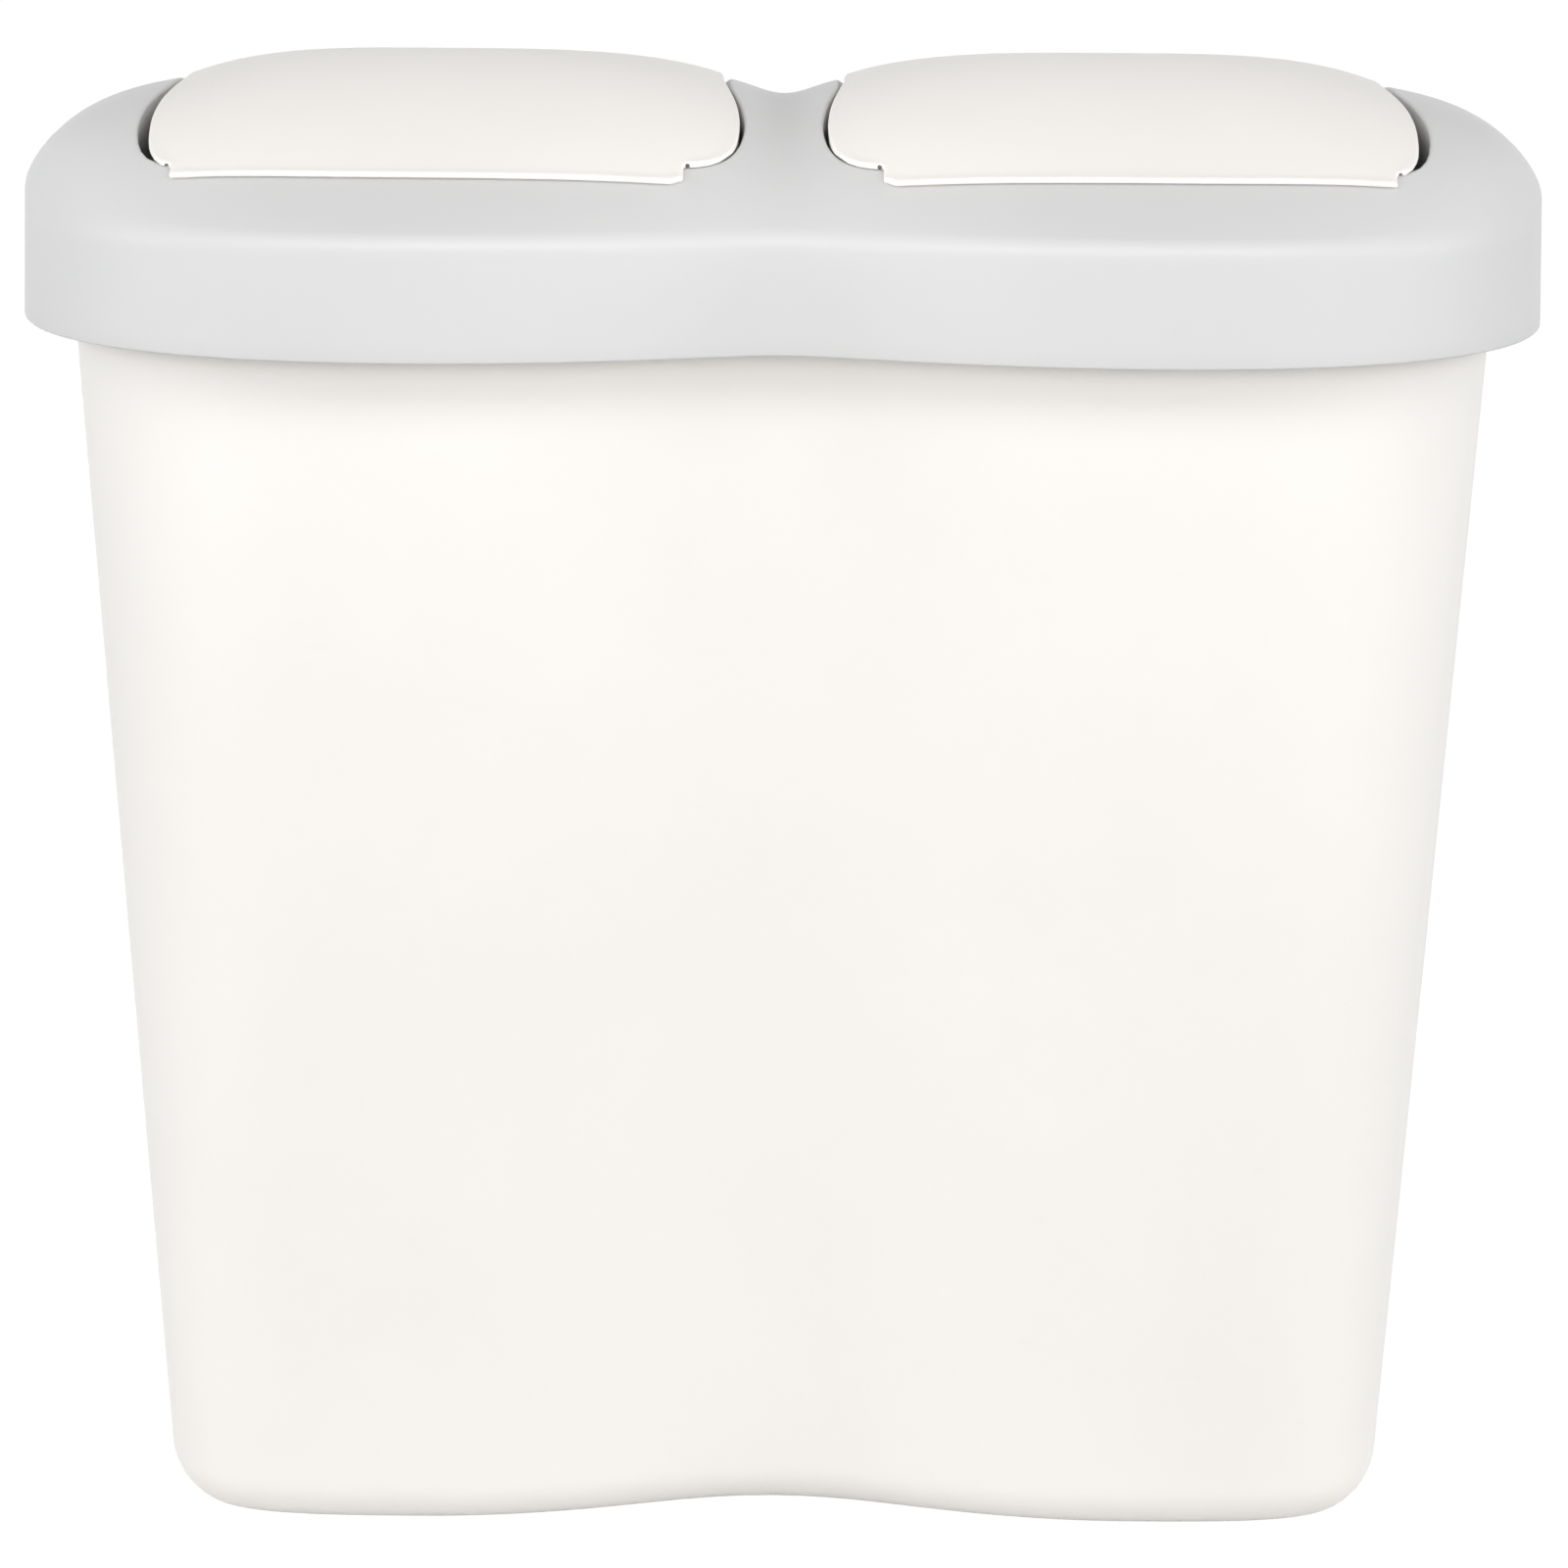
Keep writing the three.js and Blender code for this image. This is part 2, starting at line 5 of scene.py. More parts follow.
import bmesh
import bpy
from mathutils import Matrix, Vector
from mathutils.kdtree import KDTree


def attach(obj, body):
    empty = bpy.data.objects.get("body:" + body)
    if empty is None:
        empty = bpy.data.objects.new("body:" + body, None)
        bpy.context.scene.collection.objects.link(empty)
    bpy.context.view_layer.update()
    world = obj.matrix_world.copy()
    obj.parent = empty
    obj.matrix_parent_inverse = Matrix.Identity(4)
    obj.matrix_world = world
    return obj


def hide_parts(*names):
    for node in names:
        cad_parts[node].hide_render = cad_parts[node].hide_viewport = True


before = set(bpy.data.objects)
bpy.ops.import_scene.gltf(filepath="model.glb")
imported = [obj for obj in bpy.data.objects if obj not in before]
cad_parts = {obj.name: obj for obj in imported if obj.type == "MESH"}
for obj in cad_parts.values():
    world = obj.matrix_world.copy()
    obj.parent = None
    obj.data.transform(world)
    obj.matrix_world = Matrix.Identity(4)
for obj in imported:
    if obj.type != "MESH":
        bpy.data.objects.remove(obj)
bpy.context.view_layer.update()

# ---- Body ----
# One injection-moulded shell of warm white polypropylene, figure-of-eight in plan and tapering to a
# rounded foot. Its top edge is rolled outwards and down, and the lid's skirt hides that rim.

lobe_x = 125
lobe_half_width = 140
lobe_half_depth = 146
waist_half_depth = 120.5
waist_softness = 15
lid_squareness = 2.3
foot_squareness = 3
skirt_bottom = 419
quarter_points = 34

rim_top = 452
rim_edge = 3.6
rim_wall = 2.4
rim_turn_down = 9
foot_inset = 49
neck_inset = 17.5
foot_radius = 16
body_wall = 2.4
floor_thickness = 2.6
underside_recess = 1.5


def at(x, y, z):
    """A point given in millimetres."""
    return Vector((x, y, z)) / 1000


def half_depth(x):
    """Half the lid's depth at x: full in the lobes, drawn in at the waist."""
    away = abs(x)
    if away >= lobe_x:
        share = min(1, (away - lobe_x) / lobe_half_width)
        return lobe_half_depth * (1 - share**lid_squareness) ** (1 / lid_squareness)

    def softened(s):
        return math.hypot(s, waist_softness) / math.hypot(lobe_x, waist_softness)

    crease = (lobe_half_depth - waist_half_depth) / (1 - softened(0)) ** 2
    return lobe_half_depth - crease * (1 - softened(away)) ** 2


def bin_outline(squareness, inset):
    """Points round the two-lobed plan, from the left end along the front, moved inwards."""
    right = []
    for i in range(quarter_points + 1):
        x = lobe_x * i / quarter_points
        right.append((x, -half_depth(x)))
    for i in range(1, quarter_points + 1):
        angle = math.pi / 2 * (1 - i / quarter_points)
        c, s = math.cos(angle), max(0, math.sin(angle))
        reach = (c**squareness + s**squareness) ** (-1 / squareness)
        y = lobe_half_depth * s * reach if i < quarter_points else 0
        right.append((lobe_x + lobe_half_width * c * reach, -y))
    front = [(-x, y) for x, y in reversed(right[1:])] + right
    loop = front + [(x, -y) for x, y in reversed(front[1:-1])]
    moved = []
    for i, (x, y) in enumerate(loop):
        x0, y0 = loop[i - 1]
        x1, y1 = loop[(i + 1) % len(loop)]
        length = math.hypot(x1 - x0, y1 - y0)
        moved.append((x - (y1 - y0) / length * inset, y + (x1 - x0) / length * inset))
    return moved


def begin_ring(name, points):
    """A circle primitive set onto the points of a section, ready in edit mode for draw_rings."""
    bpy.ops.object.select_all(action="DESELECT")
    bpy.ops.mesh.primitive_circle_add(vertices=len(points), radius=0.1)
    piece = bpy.context.active_object
    piece.name = piece.data.name = name
    for vertex, point in zip(piece.data.vertices, points):
        vertex.co = point
    number = piece.data.attributes.new("number", "INT", "POINT")
    number.data.foreach_set("value", list(range(len(points))))
    bpy.ops.object.mode_set(mode="EDIT")
    bpy.ops.mesh.select_mode(type="EDGE")
    bpy.ops.mesh.select_all(action="SELECT")
    return piece


def draw_rings(piece, rings):
    """Extrudes the selected open edge again and again, each time onto the next ring of points."""
    for points in rings:
        bpy.ops.mesh.extrude_edges_move()
        shaped = bmesh.from_edit_mesh(piece.data)
        number = shaped.verts.layers.int["number"]
        for vertex in shaped.verts:
            if vertex.select:
                vertex.co = points[vertex[number]]
        bmesh.update_edit_mesh(piece.data)


def close_up(piece, sharp_degrees=32):
    """Fills what is open, points the faces outwards and shades the piece smooth but for its edges."""
    bpy.ops.mesh.select_all(action="SELECT")
    bpy.ops.mesh.remove_doubles(threshold=1e-6)
    bpy.ops.mesh.select_all(action="SELECT")
    bpy.ops.mesh.fill_holes(sides=0)
    bpy.ops.mesh.select_all(action="SELECT")
    bpy.ops.mesh.normals_make_consistent(inside=False)
    bpy.ops.object.mode_set(mode="OBJECT")
    bpy.ops.object.shade_smooth_by_angle(angle=math.radians(sharp_degrees))


def arc(radius, steps, start=0, end=90):
    """(cosine, sine) times the radius at even steps between two angles in degrees."""
    angles = [math.radians(start + (end - start) * i / steps) for i in range(steps + 1)]
    return [(radius * math.cos(a), radius * math.sin(a)) for a in angles]


def body_inset(z):
    return foot_inset - (foot_inset - neck_inset) * z / skirt_bottom


def body_ring(inset, z):
    squareness = foot_squareness - (foot_squareness - lid_squareness) * min(1, z / skirt_bottom)
    return [at(x, y, z) for x, y in bin_outline(squareness, inset)]


profile = []
for step_in, z in [(12, underside_recess), (9.6, underside_recess), (9.2, 1.3), (8.2, 0.2), (7.8, 0)]:
    profile.append((body_inset(z) + foot_radius + step_in, z))
for across, up in arc(foot_radius, 10, 90, 0):
    profile.append((body_inset(foot_radius - up) + foot_radius - across, foot_radius - up))
wall_top = rim_top - rim_wall - 1.5
for i in range(1, 17):
    z = foot_radius + (wall_top - foot_radius) * i / 16
    profile.append((body_inset(z), z))
for across, up in arc(1.5, 3, 0, 90)[1:]:
    profile.append((body_inset(wall_top + up) - 1.5 + across, wall_top + up))
inner_turn = rim_edge + rim_wall
for across, up in arc(1, 3, 90, 180):
    profile.append((inner_turn + 1 + across, rim_top - rim_wall - 1 + up))
turned = rim_top - rim_turn_down
for across, up in arc(rim_wall / 2, 6, 0, -180):
    profile.append((rim_edge + rim_wall / 2 + across, turned + rim_wall / 2 + up))
for across, up in arc(rim_wall, 6, 180, 90):
    profile.append((inner_turn + across, rim_top - rim_wall + up))
for across, up in arc(1.2, 4, 90, 0):
    profile.append((body_inset(rim_top) + body_wall - 1.2 + across, rim_top - 1.2 + up))
for i in range(1, 17):
    z = rim_top - 1.2 - (rim_top - 1.2 - foot_radius) * i / 16
    profile.append((body_inset(z) + body_wall, z))
inner_foot = foot_radius - floor_thickness
for across, up in arc(inner_foot, 8, 0, 90)[1:]:
    z = foot_radius - up
    profile.append((body_inset(z) + body_wall + inner_foot - across, z))
profile.append((body_inset(floor_thickness) + body_wall + inner_foot + 4, floor_thickness))

rings = [body_ring(inset, z) for inset, z in profile]
body = begin_ring("body", rings[0])
draw_rings(body, rings[1:])
close_up(body)


class Link:
    """A socket of a shader tree, so that arithmetic on it adds the Math nodes."""

    def __init__(self, finish, socket):
        self.finish = finish
        self.socket = socket

    def __add__(self, other):
        return self.finish.node("ShaderNodeMath", {"operation": "ADD"}, {0: self, 1: other})

    def __sub__(self, other):
        return self.finish.node("ShaderNodeMath", {"operation": "SUBTRACT"}, {0: self, 1: other})

    def __rsub__(self, other):
        return self.finish.node("ShaderNodeMath", {"operation": "SUBTRACT"}, {0: other, 1: self})

    def __mul__(self, other):
        return self.finish.node("ShaderNodeMath", {"operation": "MULTIPLY"}, {0: self, 1: other})

    __radd__ = __add__
    __rmul__ = __mul__


class Finish:
    """A material made of nodes on a Principled shader."""

    def __init__(self, name, **constants):
        self.material = bpy.data.materials.new(name)
        self.material.use_nodes = True
        self.tree = self.material.node_tree
        self.shader = next(n for n in self.tree.nodes if n.type == "BSDF_PRINCIPLED")
        for socket, value in constants.items():
            self.shader.inputs[socket.replace("_", " ")].default_value = value

    def node(self, kind, settings=None, sockets=None, out=0):
        """Adds a node: its settings first, then the values or links of its sockets."""
        made = self.tree.nodes.new(kind)
        for name, value in (settings or {}).items():
            if name == "stops":
                while len(made.color_ramp.elements) < len(value):
                    made.color_ramp.elements.new(0.5)
                for element, (place, shade) in zip(made.color_ramp.elements, value):
                    element.position = place
                    element.color = (shade, shade, shade, 1)
            else:
                setattr(made, name, value)
        for name, value in (sockets or {}).items():
            if isinstance(value, Link):
                self.tree.links.new(value.socket, made.inputs[name])
            else:
                made.inputs[name].default_value = value
        return Link(self, made.outputs[out])

    def feed(self, socket, value):
        self.tree.links.new(value.socket, self.shader.inputs[socket])

    def noise(self, place, scale, detail=2.0, roughness=0.5):
        sockets = {"Vector": place, "Scale": scale, "Detail": detail, "Roughness": roughness}
        return self.node("ShaderNodeTexNoise", {}, sockets)

    def ramp(self, value, stops):
        return self.node("ShaderNodeValToRGB", {"stops": stops}, {"Fac": value})

    def blend(self, share, first, second):
        settings = {"data_type": "RGBA"}
        return self.node("ShaderNodeMix", settings, {0: share, 6: first, 7: second}, out=2)


def moulded(name, colour, rubbed, roughness, grain, edge_wear=0.35):
    """Moulded polypropylene: satin grain, faint flow marks, hairline rubs and duller, rubbed edges."""
    finish = Finish(name, IOR=1.49)
    place = finish.node("ShaderNodeTexCoord", out=3)
    stretched = finish.node(
        "ShaderNodeMapping", {}, {"Vector": place, "Rotation": (0.3, 0.2, 0.5), "Scale": (5, 160, 60)}
    )
    patches = finish.noise(place, 9, 3, 0.55)
    specks = finish.noise(place, 240, 3, 0.6)
    rubs = finish.ramp(finish.noise(stretched, 3.2, 3, 0.6), [(0.66, 0), (0.76, 1)])
    worn = finish.node("ShaderNodeAttribute", {"attribute_name": "worn"}, out=2)
    edges = finish.ramp(worn + (specks - 0.5) * 0.9, [(0.62, 0), (1.0, 1)]) * edge_wear
    marks = rubs * finish.ramp(patches, [(0.5, 0), (0.62, 1)])
    tone = [c * 0.975 for c in colour] + [1]
    shade = finish.blend(finish.ramp(patches, [(0.3, 0), (0.7, 1)]), list(colour) + [1], tone)
    shade = finish.blend(edges + marks * 0.1, shade, list(rubbed) + [1])
    finish.feed("Base Color", shade)
    finish.feed("Roughness", roughness + (patches - 0.5) * 0.16 + marks * 0.08 + edges * 0.3)
    leather = finish.noise(place, 1500, 2, 0.6)
    height = leather * grain + specks * (grain * 0.6) + patches * 0.00012 - marks * 0.00002
    bump = finish.node("ShaderNodeBump", {}, {"Strength": 0.7, "Distance": 1.0, "Height": height})
    finish.feed("Normal", bump)
    return finish.material


def dress(piece, material, body_name, nodes, worn=None):
    """Gives a finished piece its material, wear and body, and hides the CAD nodes it stands for."""
    wear = piece.data.attributes.new("worn", "FLOAT", "POINT")
    if worn:
        wear.data.foreach_set("value", [worn(v.co * 1000) for v in piece.data.vertices])
    piece.data.materials.clear()
    piece.data.materials.append(material)
    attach(piece, body_name)
    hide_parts(*nodes)


def near(value, target, reach):
    """1 at a target height or distance, falling to 0 at its reach."""
    return max(0.0, 1 - abs(value - target) / reach)


def body_wear(p):
    return max(near(p.z, 0, 9), near(p.z, rim_top, 3), near(p.z, turned, 2))


cream = (0.935, 0.905, 0.872)
cream_rubbed = (0.74, 0.71, 0.67)
cream_plastic = moulded("cream_plastic", cream, cream_rubbed, 0.42, 0.00001)
dress(body, cream_plastic, "base", ["body_shell"], body_wear)

# ---- Buckets ----
# Two lift-out pails of mid-grey polypropylene, one in each lobe, each standing on the body's floor.
# A rolled rim stiffens the mouth, and a lug at each side carries the bail.

pail_top = 430
pail_foot = floor_thickness + 0.3
pail_wall = 1.8
pail_rim_width = 3.6
pail_foot_radius = 14
lug_thickness = 3.2
lug_half_width = 8
bail_height = 437.3
lug_top = bail_height + 6
pail_points = 96


def pail_ring(less, z):
    """Points round the right pail's plan at a height, moved in from its rim's outer edge."""
    away = body_inset(z) + body_wall + 1.6 + less
    squareness = foot_squareness - (foot_squareness - lid_squareness) * min(1, z / skirt_bottom)
    ring = []
    for i in range(pail_points):
        angle = 2 * math.pi * i / pail_points
        c, s = math.cos(angle), math.sin(angle)
        reach = (abs(c) ** squareness + abs(s) ** squareness) ** (-1 / squareness)
        x = lobe_x + (lobe_half_width - away) * c * reach
        ring.append(at(x, (lobe_half_depth - away) * s * reach, z))
    return ring


profile = [(pail_rim_width + pail_foot_radius + 9, pail_foot + 1.6)]
profile += [(pail_rim_width + pail_foot_radius + 7, pail_foot + 1.6)]
profile += [(pail_rim_width + pail_foot_radius + 5.5, pail_foot)]
for across, up in arc(pail_foot_radius, 8, 90, 0):
    z = pail_foot + pail_foot_radius - up
    profile.append((pail_rim_width + pail_foot_radius - across, z))
bead = pail_top - 46
for i in range(1, 11):
    profile.append((pail_rim_width, pail_foot + pail_foot_radius + (bead - 26 - pail_foot) * i / 10))
for across, up in arc(1.5, 6, -90, 90):
    profile.append((pail_rim_width - across, bead + up))
profile += [(pail_rim_width, bead + 12), (pail_rim_width, pail_top - 6.2)]
profile += [(pail_rim_width - 0.4, pail_top - 5.4), (0.8, pail_top - 4.4), (0.1, pail_top - 3.8)]
for across, up in arc(1.8, 5, 180, 90):
    profile.append((1.8 + across, pail_top - 1.8 + up))
pail_inside = pail_rim_width + pail_wall
for across, up in arc(1.4, 4, 90, 0):
    profile.append((pail_inside - 1.4 + across, pail_top - 1.4 + up))
for i in range(1, 13):
    z = pail_top - 1.4 - (pail_top - 1.4 - pail_foot - pail_foot_radius) * i / 12
    profile.append((pail_inside, z))
inner_foot = pail_foot_radius - 2
for across, up in arc(inner_foot, 8, 0, 90)[1:]:
    profile.append((pail_inside + inner_foot - across, pail_foot + pail_foot_radius - up))
profile.append((pail_inside + inner_foot + 4, pail_foot + 2))

rings = [pail_ring(less, z) for less, z in profile]
bucket_right = begin_ring("bucket_right", rings[0])
draw_rings(bucket_right, rings[1:])
close_up(bucket_right)

mouth_inset = body_inset(pail_top) + body_wall + 1.6 + pail_rim_width + pail_wall
lug_reach = lobe_half_width - mouth_inset


def join(main, *others):
    """Makes the other pieces part of the main piece's mesh."""
    bpy.ops.object.select_all(action="DESELECT")
    for piece in (*others, main):
        piece.select_set(True)
    bpy.context.view_layer.objects.active = main
    bpy.ops.object.join()


def select_where(piece, test):
    """In edit mode, selects just the faces whose centre and normal pass the test."""
    bpy.ops.mesh.select_mode(type="FACE")
    bpy.ops.mesh.select_all(action="DESELECT")
    shaped = bmesh.from_edit_mesh(piece.data)
    for face in shaped.faces:
        face.select_set(test(face.calc_center_median() * 1000, face.normal))
    bmesh.update_edit_mesh(piece.data)


def settle(piece):
    """Puts a piece's place into its mesh, as a CAD node's is."""
    bpy.ops.object.select_all(action="DESELECT")
    piece.select_set(True)
    bpy.context.view_layer.objects.active = piece
    bpy.ops.object.transform_apply(location=True, rotation=True, scale=True)


def lug(x, hand):
    """A plate standing on the rim, with a rounded top and a boss round the wire."""
    bottom = pail_top - 2.5
    middle = (bottom + lug_top) / 2
    centre = at(x + hand * lug_thickness / 2, 0, middle)
    bpy.ops.object.select_all(action="DESELECT")
    bpy.ops.mesh.primitive_cube_add(size=1, location=centre)
    plate = bpy.context.active_object
    plate.scale = at(lug_thickness, 2 * lug_half_width, lug_top - bottom)
    settle(plate)
    bpy.ops.object.mode_set(mode="EDIT")
    bpy.ops.mesh.select_mode(type="EDGE")
    bpy.ops.mesh.select_all(action="DESELECT")
    shaped = bmesh.from_edit_mesh(plate.data)
    for edge in shaped.edges:
        top = all(v.co.z > middle / 1000 for v in edge.verts)
        if top and abs(edge.verts[0].co.x - edge.verts[1].co.x) > 1e-4:
            edge.select_set(True)
    bmesh.update_edit_mesh(plate.data)
    bpy.ops.mesh.bevel(offset=0.0055, segments=6, affect="EDGES")
    select_where(plate, lambda c, n: hand * n.x > 0.9)
    bpy.ops.mesh.inset(thickness=0.0016)
    bpy.ops.mesh.extrude_region_move(TRANSFORM_OT_translate={"value": (-hand * 0.0006, 0, 0)})
    bpy.ops.mesh.select_all(action="SELECT")
    bpy.ops.mesh.bevel(offset=0.00025, segments=2, affect="EDGES")
    close_up(plate)
    return plate


lugs = [lug(lobe_x + hand * lug_reach, hand) for hand in (-1, 1)]
join(bucket_right, *lugs)


def mirrored(piece, name):
    """The same piece for the left side, with a mesh of its own."""
    bpy.ops.object.select_all(action="DESELECT")
    piece.select_set(True)
    bpy.context.view_layer.objects.active = piece
    bpy.ops.object.duplicate()
    copy = bpy.context.active_object
    copy.name = copy.data.name = name
    copy.scale.x = -1
    settle(copy)
    bpy.ops.object.mode_set(mode="EDIT")
    bpy.ops.mesh.select_all(action="SELECT")
    bpy.ops.mesh.normals_make_consistent(inside=False)
    bpy.ops.object.mode_set(mode="OBJECT")
    return copy


def pail_wear(p):
    return max(near(p.z, pail_top, 3), near(p.z, pail_foot, 5), near(p.z, lug_top, 2))


pail_grey = (0.37, 0.385, 0.39)
pail_plastic = moulded("pail_plastic", pail_grey, (0.5, 0.51, 0.51), 0.45, 0.000012)
bucket_left = mirrored(bucket_right, "bucket_left")
dress(bucket_right, pail_plastic, "right_bucket", ["bucket_right"], pail_wear)
dress(bucket_left, pail_plastic, "left_bucket", ["bucket_left"], pail_wear)

# ---- Bails ----
# A zinc-plated wire is bent to follow half of each pail's mouth. Its ends pass outwards through the
# lugs and are peened over, and at rest it lies forward on the rim.

wire_radius = 2
wire_sides = 14
bail_bend = 6
grip_half_length = 45
pail_reach = lobe_half_depth - mouth_inset
bail_reach = pail_reach * (1 - (grip_half_length / lug_reach) ** lid_squareness) ** (1 / lid_squareness)

inner_lug = lug_reach - 1
arm = inner_lug - bail_bend
stub_end = lug_reach + lug_thickness + 3
path = [(stub_end, 0, 1.6), (stub_end - 0.3, 0, 2.4), (stub_end - 1.1, 0, 2.5), (stub_end - 1.5, 0, 2)]
path.append((inner_lug + 2, 0, 2))
for across, down in arc(bail_bend, 8, 90, 0):
    path.append((inner_lug - across, down - bail_bend, 2))
sweep = arc(1, 26, 0, 90)[1:]
run = arm - grip_half_length - 1
for across, down in sweep:
    x = grip_half_length + 1 + run * across
    path.append((x, -bail_bend - (bail_reach - bail_bend) * down, 2))
path += [(-x, y, radius) for x, y, radius in reversed(path)]

rings = []
for i, (x, y, radius) in enumerate(path):
    x0, y0, _ = path[max(0, i - 1)]
    x1, y1, _ = path[min(len(path) - 1, i + 1)]
    length = math.hypot(x1 - x0, y1 - y0)
    ring = []
    for across, up in arc(radius, wire_sides, 0, 360)[:-1]:
        side_x, side_y = across * (y0 - y1) / length, across * (x1 - x0) / length
        ring.append(at(lobe_x + x + side_x, y + side_y, bail_height + up))
    rings.append(ring)
bail_right = begin_ring("bail_right", rings[0])
draw_rings(bail_right, rings[1:])
close_up(bail_right, 50)

# ---- Bail grips ----
# A dark moulded tube is threaded on the straight of each wire. Shallow flutes across it keep it from
# slipping in the hand.

grip_radius = 7
grip_bore = 3.3
flutes = 13
grip_profile = [(-grip_half_length, grip_bore), (-grip_half_length, grip_radius - 1.6)]
for across, up in arc(1.4, 4, 180, 90):
    grip_profile.append((-grip_half_length + 1.4 + across, grip_radius - 1.4 + up))
for i in range(flutes * 6 + 1):
    x = -33 + 66 * i / (flutes * 6)
    grip_profile.append((x, grip_radius - 0.9 * math.sin(math.pi * i / 6) ** 2))
for across, up in arc(1.4, 4, 90, 0):
    grip_profile.append((grip_half_length - 1.4 + across, grip_radius - 1.4 + up))
grip_profile += [(grip_half_length, grip_radius - 1.6), (grip_half_length, grip_bore)]
grip_profile.append(grip_profile[0])

rings = []
for x, radius in grip_profile:
    circle = arc(radius, 28, 0, 360)[:-1]
    rings.append([at(lobe_x + x, -bail_reach + across, bail_height + up) for across, up in circle])
grip_right = begin_ring("grip_right", rings[0])
draw_rings(grip_right, rings[1:])
close_up(grip_right)

zinc = Finish("zinc_wire", Metallic=1.0)
place = zinc.node("ShaderNodeTexCoord", out=3)
drawn = zinc.node("ShaderNodeMapping", {}, {"Vector": place, "Scale": (30, 500, 500)})
streaks = zinc.noise(drawn, 3, 3, 0.6)
blotches = zinc.noise(place, 160, 3, 0.5)
dulled = zinc.ramp(blotches, [(0.35, 0), (0.65, 1)])
zinc.feed("Base Color", zinc.blend(dulled, (0.66, 0.67, 0.68, 1), (0.52, 0.53, 0.55, 1)))
zinc.feed("Roughness", 0.24 + dulled * 0.14 + streaks * 0.12)
height = streaks * 0.00003 + blotches * 0.00002
zinc.feed("Normal", zinc.node("ShaderNodeBump", {}, {"Strength": 0.6, "Distance": 1.0, "Height": height}))


def grip_wear(p):
    return near(math.hypot(p.y + bail_reach, p.z - bail_height), grip_radius, 0.8) * 0.8


grip_plastic = moulded("grip_plastic", (0.085, 0.09, 0.094), (0.22, 0.22, 0.22), 0.5, 0.00002)
bail_left = mirrored(bail_right, "bail_left")
grip_left = mirrored(grip_right, "grip_left")
dress(bail_right, zinc.material, "right_bail", ["bail_right"])
dress(bail_left, zinc.material, "left_bail", ["bail_left"])
dress(grip_right, grip_plastic, "right_bail", ["bail_grip_right"], grip_wear)
dress(grip_left, grip_plastic, "left_bail", ["bail_grip_left"], grip_wear)

# ---- Lid ----
# A light grey moulding: a skirt, a rounded shoulder and a dome that falls to the waist between the
# lobes. Each opening has a turned-down flange, and a rib underneath stands on the body's rim.

shoulder_height = 462
end_drop = 5.5
crown_height = 502
dome_squareness = 1.65
narrow_squareness = 3.7
end_fullness = 1.15
waist_fullness = 1.3
valley_depth = 5.4
valley_half_width = 14
skirt_draft = 0.8
shoulder_inset = 5.6
lid_wall = 2.2
opening_x = 116.5
opening_half_width = 103.5
opening_half_depth = 97
front_squareness = 8
rear_squareness = 4
rear_taper = 0.06
opening_edge = 1.1
flange_bottom = 466
dome_rings = 16


def dome_height(x, y):
    """Height of the lid's outside."""
    reach = max(half_depth(x) - shoulder_inset, 1e-3)
    share = min(1, abs(y) / reach)
    width = min(1, reach / (lobe_half_depth - shoulder_inset))
    climb = 1 - (1 - width) ** (end_fullness if abs(x) > lobe_x else waist_fullness)
    squareness = narrow_squareness + (dome_squareness - narrow_squareness) * width**3
    valley = valley_depth * math.exp(-((x / valley_half_width) ** 2)) * (1 - share**2)
    edge = shoulder_height - end_drop * max(0, (abs(x) - 225) / 40) ** 2
    return edge + (crown_height - edge) * climb * (1 - share**squareness) - valley


def tapered(y):
    """Share of the full width at y: the openings and flaps are widest near the front."""
    forward = max(0, min(1, (5 - y) / 70))
    return 1 - rear_taper * (1 - forward * forward * (3 - 2 * forward))


def rounded(angle, half_width, half_depth_front, half_depth_rear, front_power, rear_power):
    """A point of an opening's plan about its middle, squarer in front than behind."""
    c, s = math.cos(angle), math.sin(angle)
    power, depth = (rear_power, half_depth_rear) if s > 0 else (front_power, half_depth_front)
    reach = (abs(c) ** power + abs(s) ** power) ** (-1 / power)
    y = depth * s * reach
    return half_width * c * reach * tapered(y), y


def on_opening(x, y, more):
    """The point of the right opening's edge, moved outwards, on the way to (x, y)."""
    angle = math.atan2(y / opening_half_depth, (x - opening_x) / opening_half_width)
    depth = opening_half_depth + more
    across, along = rounded(angle, opening_half_width + more, depth, depth, front_squareness, rear_squareness)
    return opening_x + across, along


shoulder = bin_outline(lid_squareness, shoulder_inset)
half = len(shoulder) // 2
middle_front = half // 2
right_half = shoulder[middle_front : middle_front + half + 1]
seam_points = 60
seam_reach = right_half[-1][1]
seam = [(0, seam_reach * (1 - 2 * i / seam_points)) for i in range(1, seam_points)]
border = right_half + seam


def opening_ring(more, height):
    ring = []
    for x, y in border:
        ox, oy = on_opening(x, y, more)
        ring.append(at(ox, oy, height(ox, oy)))
    return ring


rings = [opening_ring(0, lambda x, y: flange_bottom)]
for share in (0.35, 0.7):
    drop = opening_edge
    rings.append(opening_ring(0, lambda x, y: flange_bottom + share * (dome_height(x, y) - drop - flange_bottom)))
for across, up in arc(opening_edge, 4, 180, 90):
    rings.append(opening_ring(opening_edge + across, lambda x, y: dome_height(x, y) - opening_edge + up))
for i in range(1, dome_rings + 1):
    share = i / dome_rings
    share = 0.65 * share + 0.35 * share**2
    ring = []
    for x, y in border:
        ox, oy = on_opening(x, y, opening_edge)
        px, py = ox + (x - ox) * share, oy + (y - oy) * share
        ring.append(at(px, py, dome_height(px, py)))
    rings.append(ring)
lid = begin_ring("lid", rings[0])
draw_rings(lid, rings[1:])
bpy.ops.object.mode_set(mode="OBJECT")
join(lid, mirrored(lid, "lid_left_half"))
bpy.ops.object.mode_set(mode="EDIT")
